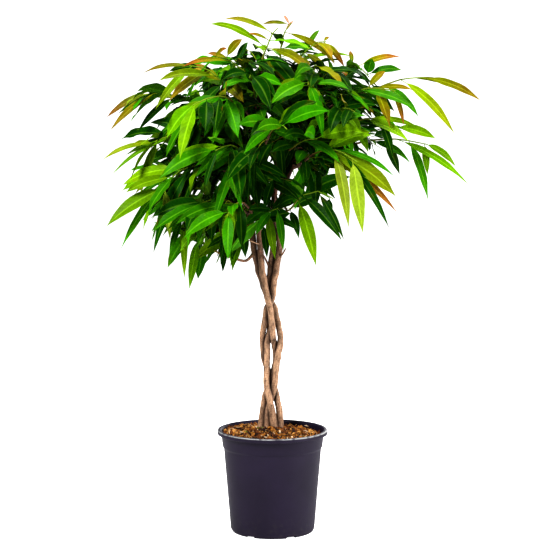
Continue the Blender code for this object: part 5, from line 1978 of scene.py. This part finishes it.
class ScatterTree:
    """The tree that scatters small pieces over a surface, each turned, sized and tinted by draw."""

    TONE_SEED = 77

    def __init__(self, tones: list[Colour]) -> None:
        """Build the tree.

        Args:
            tones: The colours of the pieces, each as often as it stands here.
        """
        self.tree = bpy.data.node_groups.new("scatter_pieces", "GeometryNodeTree")
        sizes = {
            "Surface": ("Geometry", None), "Pieces": ("Collection", None),
            "Spacing": ("Float", 0.004), "Density": ("Float", 30000.0),
            "Smallest": ("Float", 0.5), "Largest": ("Float", 1.5), "Tilt": ("Float", 0.5),
            "Lift": ("Float", 0.001), "Seed": ("Int", 1), "Finish": ("Material", None),
        }
        interface(self.tree, sizes, {"Geometry": "Geometry"})
        make = NodeMaker(self.tree)
        given = self.tree.nodes.new("NodeGroupInput").outputs
        spread = {"Mesh": given["Surface"], "Distance Min": given["Spacing"], "Density Max": given["Density"],
                  "Seed": given["Seed"]}
        points = make.add("GeometryNodeDistributePointsOnFaces", spread, distribute_method="POISSON")
        rise = make.add("ShaderNodeCombineXYZ", {"Z": given["Lift"]})
        points = make.add("GeometryNodeSetPosition", {"Geometry": points, "Offset": rise})
        stock = {"Collection": given["Pieces"], "Separate Children": True, "Reset Children": True}
        stock = make.add("GeometryNodeCollectionInfo", stock)
        back = make.times(given["Tilt"], -1.0)
        low = make.add("ShaderNodeCombineXYZ", {"X": back, "Y": back, "Z": 0.0})
        high = make.add("ShaderNodeCombineXYZ", {"X": given["Tilt"], "Y": given["Tilt"], "Z": 2 * math.pi})
        turn = {"Min": low, "Max": high, "Seed": given["Seed"]}
        turn = make.add("FunctionNodeRandomValue", turn, out="Value", data_type="FLOAT_VECTOR")
        size = {"Min": given["Smallest"], "Max": given["Largest"], "Seed": given["Seed"]}
        size = make.add("FunctionNodeRandomValue", size, out="Value", data_type="FLOAT")
        kept = {"Points": points, "Instance": stock, "Pick Instance": True, "Rotation": turn, "Scale": size}
        pieces = make.add("GeometryNodeInstanceOnPoints", kept)
        share = make.add("FunctionNodeRandomValue", {"Seed": self.TONE_SEED}, out="Value", data_type="FLOAT")
        ramp = make.add("ShaderNodeValToRGB", {"Fac": share}).node
        ramp.color_ramp.interpolation = "CONSTANT"
        while len(ramp.color_ramp.elements) < len(tones):
            ramp.color_ramp.elements.new(1.0)
        for i, (element, tone) in enumerate(zip(ramp.color_ramp.elements, tones)):
            element.position = i / len(tones)
            element.color = rgba(tone)
        pieces = make.store(pieces, "tint", ramp.outputs["Color"], "FLOAT_COLOR", "INSTANCE")
        pieces = make.add("GeometryNodeRealizeInstances", {"Geometry": pieces})
        pieces = make.add("GeometryNodeSetMaterial", {"Geometry": pieces, "Material": given["Finish"]})
        self.tree.links.new(pieces, self.tree.nodes.new("NodeGroupOutput").inputs["Geometry"])


@dataclass(frozen=True)
class ChipLayer:
    """A layer of bark chips: how they lie, how large they are, and how the kinds of them are made."""

    spacing: float
    smallest: float
    largest: float
    lift: float
    seed: int
    kinds: int
    corners: int
    rough: float


@dataclass
class SoilBed:
    """The soil: a rough damp filling, bark chips over all of it, and a little moss."""

    soil: Material
    chip: Material
    moss: Material
    edge_height: float = 0.1852
    edge_radius: float = 0.0949
    depth: float = 0.012
    heap: float = 0.008
    heap_radius: float = 0.055
    rings: int = 34
    segments: int = 96
    relief: float = 0.0022
    # The relief's coarse and fine scale, and the share of the fine one.
    coarse: float = 90.0
    fine: float = 230.0
    fine_share: float = 0.6
    # Width at the edge over which it fades.
    calm_width: float = 0.012
    slope: float = -0.036
    foot_share: float = 0.985
    rough_scale: float = 900.0
    stock_seed: int = 70
    chip_size: Triple = (0.0042, 0.0030, 0.0020)
    chip_density: float = 90000.0
    chip_tilt: float = 0.75
    chip_margin: float = 0.003
    layers: tuple[ChipLayer, ...] = (
        ChipLayer(0.0027, 0.3, 0.75, 0.0014, 11, 9, 13, 0.0),
        ChipLayer(0.0066, 0.7, 1.9, 0.0028, 12, 10, 9, 0.5))
    tones: tuple[ChipTone, ...] = (
        ChipTone.ORANGE, ChipTone.RUST, ChipTone.TAN, ChipTone.DARK, ChipTone.ORANGE, ChipTone.RUST,
        ChipTone.TAN, ChipTone.ORANGE, ChipTone.PALE, ChipTone.RUST, ChipTone.DARK)
    tuft_size: Triple = (0.0011, 0.0009, 0.0016)
    tuft_kinds: int = 4
    tuft_corners: int = 8
    # Each patch of moss: its place across and in depth, and its radius.
    moss_places: tuple[Triple, ...] = (
        (-0.024, 0.012, 0.007), (0.062, -0.030, 0.005), (-0.052, -0.020, 0.004), (0.030, 0.050, 0.006))
    moss_seed: int = 40

    def height_at(self, x: float, y: float) -> float:
        """Give the height of the soil at a place.

        Args:
            x: The place across.
            y: The place in depth.

        Returns:
            The height.
        """
        radius = math.hypot(x, y)
        rough = noise.noise(Vector((x * self.coarse, y * self.coarse, 1.0)))
        rough += self.fine_share * noise.noise(Vector((x * self.fine, y * self.fine, 5.0)))
        calm = min(1.0, (self.edge_radius - radius) / self.calm_width)
        heap = self.heap * math.exp(-(radius / self.heap_radius) ** 2)
        return self.edge_height + self.slope * x + heap + self.relief * rough * calm

    def build_filling(self) -> Mesh:
        """Build the closed filling with its rough top.

        Returns:
            The mesh.
        """
        shape = bmesh.new()
        top = [[shape.verts.new((0.0, 0.0, self.height_at(0.0, 0.0)))]]
        for i in range(1, self.rings + 1):
            radius = self.edge_radius * i / self.rings
            ring = []
            for k in range(self.segments):
                turn = 2 * math.pi * k / self.segments
                x, y = radius * math.cos(turn), radius * math.sin(turn)
                ring.append(shape.verts.new((x, y, self.height_at(x, y))))
            top.append(ring)
        foot, share = self.edge_height - self.depth, self.foot_share
        low = [shape.verts.new((edge.co.x * share, edge.co.y * share, foot)) for edge in top[-1]]
        for k in range(self.segments):
            after = (k + 1) % self.segments
            shape.faces.new((top[0][0], top[1][k], top[1][after]))
            for inner, outer in zip(top[1:], top[2:] + [low]):
                shape.faces.new((inner[k], outer[k], outer[after], inner[after]))
        shape.faces.new(low[::-1])
        bmesh.ops.recalc_face_normals(shape, faces=shape.faces)
        mesh = bpy.data.meshes.new("damp_filling")
        shape.to_mesh(mesh)
        shape.free()
        mesh.materials.append(self.soil)
        mesh.shade_smooth()
        return mesh

    def stock(self, name: str, kinds: int, spread: Triple, corners: int,
              rough: float = 0.0) -> bpy.types.Collection:
        """Make a collection of small rough pieces, each the hull of a few drawn corners.

        Args:
            name: The collection's name.
            kinds: How many different pieces it has.
            spread: Half the length, width and thickness of a piece.
            corners: How many corners are drawn for each.
            rough: How much the surface of a piece is broken up, as a share of its size.

        Returns:
            The collection, which isn't in the scene.
        """
        collection = bpy.data.collections.new(name)
        draw = Draw(self.stock_seed + kinds)
        for kind in range(kinds):
            shape = bmesh.new()
            slim = draw.uniform(0.45, 1.1)
            bow = draw.uniform(-0.25, 0.25)
            for _ in range(corners):
                way = Vector((draw.gauss(0, 1), draw.gauss(0, 1), draw.gauss(0, 1))).normalized()
                place = Vector((way.x * spread[0], way.y * spread[1] * slim, way.z * spread[2]))
                place.z += bow * abs(place.x)
                shape.verts.new(place * draw.uniform(0.84, 1.14))
            bmesh.ops.convex_hull(shape, input=shape.verts)
            loose = [vertex for vertex in shape.verts if not vertex.link_faces]
            bmesh.ops.delete(shape, geom=loose, context="VERTS")
            if rough:
                bmesh.ops.subdivide_edges(shape, edges=shape.edges, cuts=1, use_grid_fill=True)
                shift = Vector((kind, 0.0, 0.0))
                for vertex in shape.verts:
                    vertex.co *= 1.0 + rough * noise.noise(vertex.co * self.rough_scale + shift)
            bmesh.ops.recalc_face_normals(shape, faces=shape.faces)
            mesh = bpy.data.meshes.new(name + "_%d" % kind)
            shape.to_mesh(mesh)
            shape.free()
            collection.objects.link(bpy.data.objects.new(mesh.name, mesh))
        return collection

    def top_carrier(self, radius: float, centre: Pair, count: int = 40) -> Mesh:
        """Make an open round patch of the soil's top, for the pieces to lie on.

        Args:
            radius: Its radius.
            centre: Its centre.
            count: How many faces it has each way.

        Returns:
            The mesh.
        """
        corners, faces = [], []
        for i in range(count + 1):
            for k in range(count + 1):
                u, v = 2 * i / count - 1, 2 * k / count - 1
                x = u * math.sqrt(1 - v * v / 2) * radius + centre[0]
                y = v * math.sqrt(1 - u * u / 2) * radius + centre[1]
                corners.append((x, y, self.height_at(x, y)))
        for i in range(count):
            for k in range(count):
                at = i * (count + 1) + k
                faces.append((at, at + count + 1, at + count + 2, at + 1))
        mesh = bpy.data.meshes.new("carrier")
        mesh.from_pydata(corners, [], faces)
        return mesh

    @staticmethod
    def scatter(name: str, carrier: Mesh, tree: ScatterTree, values: dict) -> Mesh:
        """Scatter the pieces of a collection over a patch, and remove the collection.

        Args:
            name: The mesh's name.
            carrier: The patch.
            tree: The tree that scatters.
            values: Values for the tree's inputs, by name.

        Returns:
            The mesh of all the pieces.
        """
        mesh = grown(name, carrier, tree.tree, values)
        for item in list(values["Pieces"].objects):
            bpy.data.objects.remove(item, do_unlink=True)
        bpy.data.collections.remove(values["Pieces"])
        return mesh

    def build(self) -> None:
        """Build the filling, the chips and the moss."""
        filling = linked("damp_filling", self.build_filling())
        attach(filling, "root")
        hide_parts("soil")
        tree = ScatterTree([tone.value for tone in self.tones])
        layers = []
        for layer in self.layers:
            stock = self.stock("chip", layer.kinds, self.chip_size, layer.corners, layer.rough)
            values = {"Pieces": stock, "Spacing": layer.spacing, "Density": self.chip_density,
                      "Smallest": layer.smallest, "Largest": layer.largest, "Tilt": self.chip_tilt,
                      "Lift": layer.lift, "Seed": layer.seed, "Finish": self.chip}
            carrier = self.top_carrier(self.edge_radius - self.chip_margin, (0.0, 0.0))
            layers.append(self.scatter("chips", carrier, tree, values))
        mesh = joined("bark_chips", layers)
        chips = linked("bark_chips", mesh)
        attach(chips, "root")
        green = ScatterTree([MossFinish().base, MossFinish().base])
        tufts = []
        for number, (x, y, radius) in enumerate(self.moss_places):
            stock = self.stock("tuft", self.tuft_kinds, self.tuft_size, self.tuft_corners)
            values = {"Pieces": stock, "Spacing": 0.0010, "Density": 900000.0, "Smallest": 0.5,
                      "Largest": 1.2, "Tilt": 0.6, "Lift": 0.0022, "Seed": self.moss_seed + number,
                      "Finish": self.moss}
            tufts.append(self.scatter("moss", self.top_carrier(radius, (x, y), 6), green, values))
        moss = linked("soil_moss", joined("soil_moss", tufts))
        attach(moss, "root")
        for piece in (chips, moss):
            LOG.info("%s: %d faces", piece.name, len(piece.data.polygons))


class Studio:
    """The photograph's view, with a pale floor and soft light."""

    CAMERA = Vector((0.0075, -3.4, 0.84))
    TILT = math.radians(5.936)
    FOCAL_PIXELS = 1813.741
    FRAME_PIXELS = 553.0
    SENSOR = 36.0
    # Name, place, power and size of each light, and the place that all of them face.
    LIGHTS = (("key_light", (-1.3, -2.1, 2.5), 125.0, 1.0), ("fill_light", (2.5, -0.8, 1.0), 64.0, 1.2),
              ("top_light", (0.0, 0.3, 3.0), 55.0, 1.8), ("back_light", (0.8, 2.8, 0.9), 30.0, 1.6))
    AIM = Vector((0.0, 0.0, 0.6))
    # How much the white room lights the scene, and how much the floor glows for the camera.
    ROOM_LIGHT = 0.16
    FLOOR_GLOW = 0.66
    FLOOR_REACH = 9.0
    FLOOR_COLOUR = (0.90, 0.90, 0.90)
    FLOOR_ROUGHNESS = 0.9

    def build(self) -> None:
        """Set up the camera, the floor, the lights and the surroundings."""
        self.place_camera()
        self.lay_floor()
        for light in self.LIGHTS:
            self.hang_light(*light)
        self.surround()
        view = bpy.context.scene.view_settings
        view.view_transform = "Standard"
        view.look = "High Contrast"

    def surround(self) -> None:
        """Surround the scene with white, which lights it only softly."""
        world = bpy.data.worlds.new("white_room")
        world.use_nodes = True
        make = NodeMaker(world.node_tree)
        seen = make.add("ShaderNodeLightPath", out="Is Camera Ray")
        strength = make.add("ShaderNodeMapRange", {0: seen, 3: self.ROOM_LIGHT, 4: 1.0})
        background = world.node_tree.nodes["Background"]
        background.inputs["Color"].default_value = (1.0, 1.0, 1.0, 1.0)
        world.node_tree.links.new(strength, background.inputs["Strength"])
        bpy.context.scene.world = world

    def place_camera(self) -> None:
        """Place the camera as the photograph was taken."""
        lens = bpy.data.cameras.new("photo_view")
        lens.sensor_width = self.SENSOR
        lens.lens = self.FOCAL_PIXELS / self.FRAME_PIXELS * self.SENSOR
        lens.clip_end = 50.0
        camera = bpy.data.objects.new("photo_view", lens)
        camera.location = self.CAMERA
        camera.rotation_euler = (math.pi / 2 - self.TILT, 0.0, 0.0)
        bpy.context.scene.collection.objects.link(camera)
        bpy.context.scene.camera = camera

    def lay_floor(self) -> None:
        """Lay a wide pale floor."""
        mesh = bpy.data.meshes.new("floor")
        reach = self.FLOOR_REACH
        corners = [(-reach, -reach, 0), (reach, -reach, 0), (reach, reach, 0), (-reach, reach, 0)]
        mesh.from_pydata(corners, [], [(0, 1, 2, 3)])
        make = MaterialMaker("pale_floor")
        seen = make.add("ShaderNodeLightPath", out="Is Camera Ray")
        glow = make.times(seen, self.FLOOR_GLOW)
        make.tree.links.new(glow, make.shader.inputs["Emission Strength"])
        pale = make.finish(rgba(self.FLOOR_COLOUR), self.FLOOR_ROUGHNESS, None, 0.0,
                           Emission_Color=(1.0, 1.0, 1.0, 1.0))
        mesh.materials.append(pale)
        linked("floor", mesh)

    def hang_light(self, name: str, place: Triple, power: float, size: float) -> None:
        """Hang a soft square light that faces the crown.

        Args:
            name: Its name.
            place: Its place.
            power: Its power in watts.
            size: The length of its sides.
        """
        lamp = bpy.data.lights.new(name, "AREA")
        lamp.energy = power
        lamp.size = size
        light = bpy.data.objects.new(name, lamp)
        light.location = place
        light.rotation_euler = (self.AIM - Vector(place)).to_track_quat("-Z", "Y").to_euler()
        bpy.context.scene.collection.objects.link(light)


def main() -> None:
    """Build every piece in order."""
    logging.basicConfig(level=logging.INFO, format="%(name)s: %(message)s")
    finishes = Finishes()
    sweep = SweepTree()
    room = Room()
    NurseryPot(finishes.pot).build()
    SoilBed(finishes.soil, finishes.chips, finishes.moss).build()
    shoots = LeafyShoots(sweep, finishes.leaf, room).build()
    lines = WoodyStems(sweep, finishes.bark, Braid()).build(shoots)
    InnerFoliage(sweep, finishes.leaf, room).build(lines)
    Studio().build()


if __name__ == "__main__":
    main()
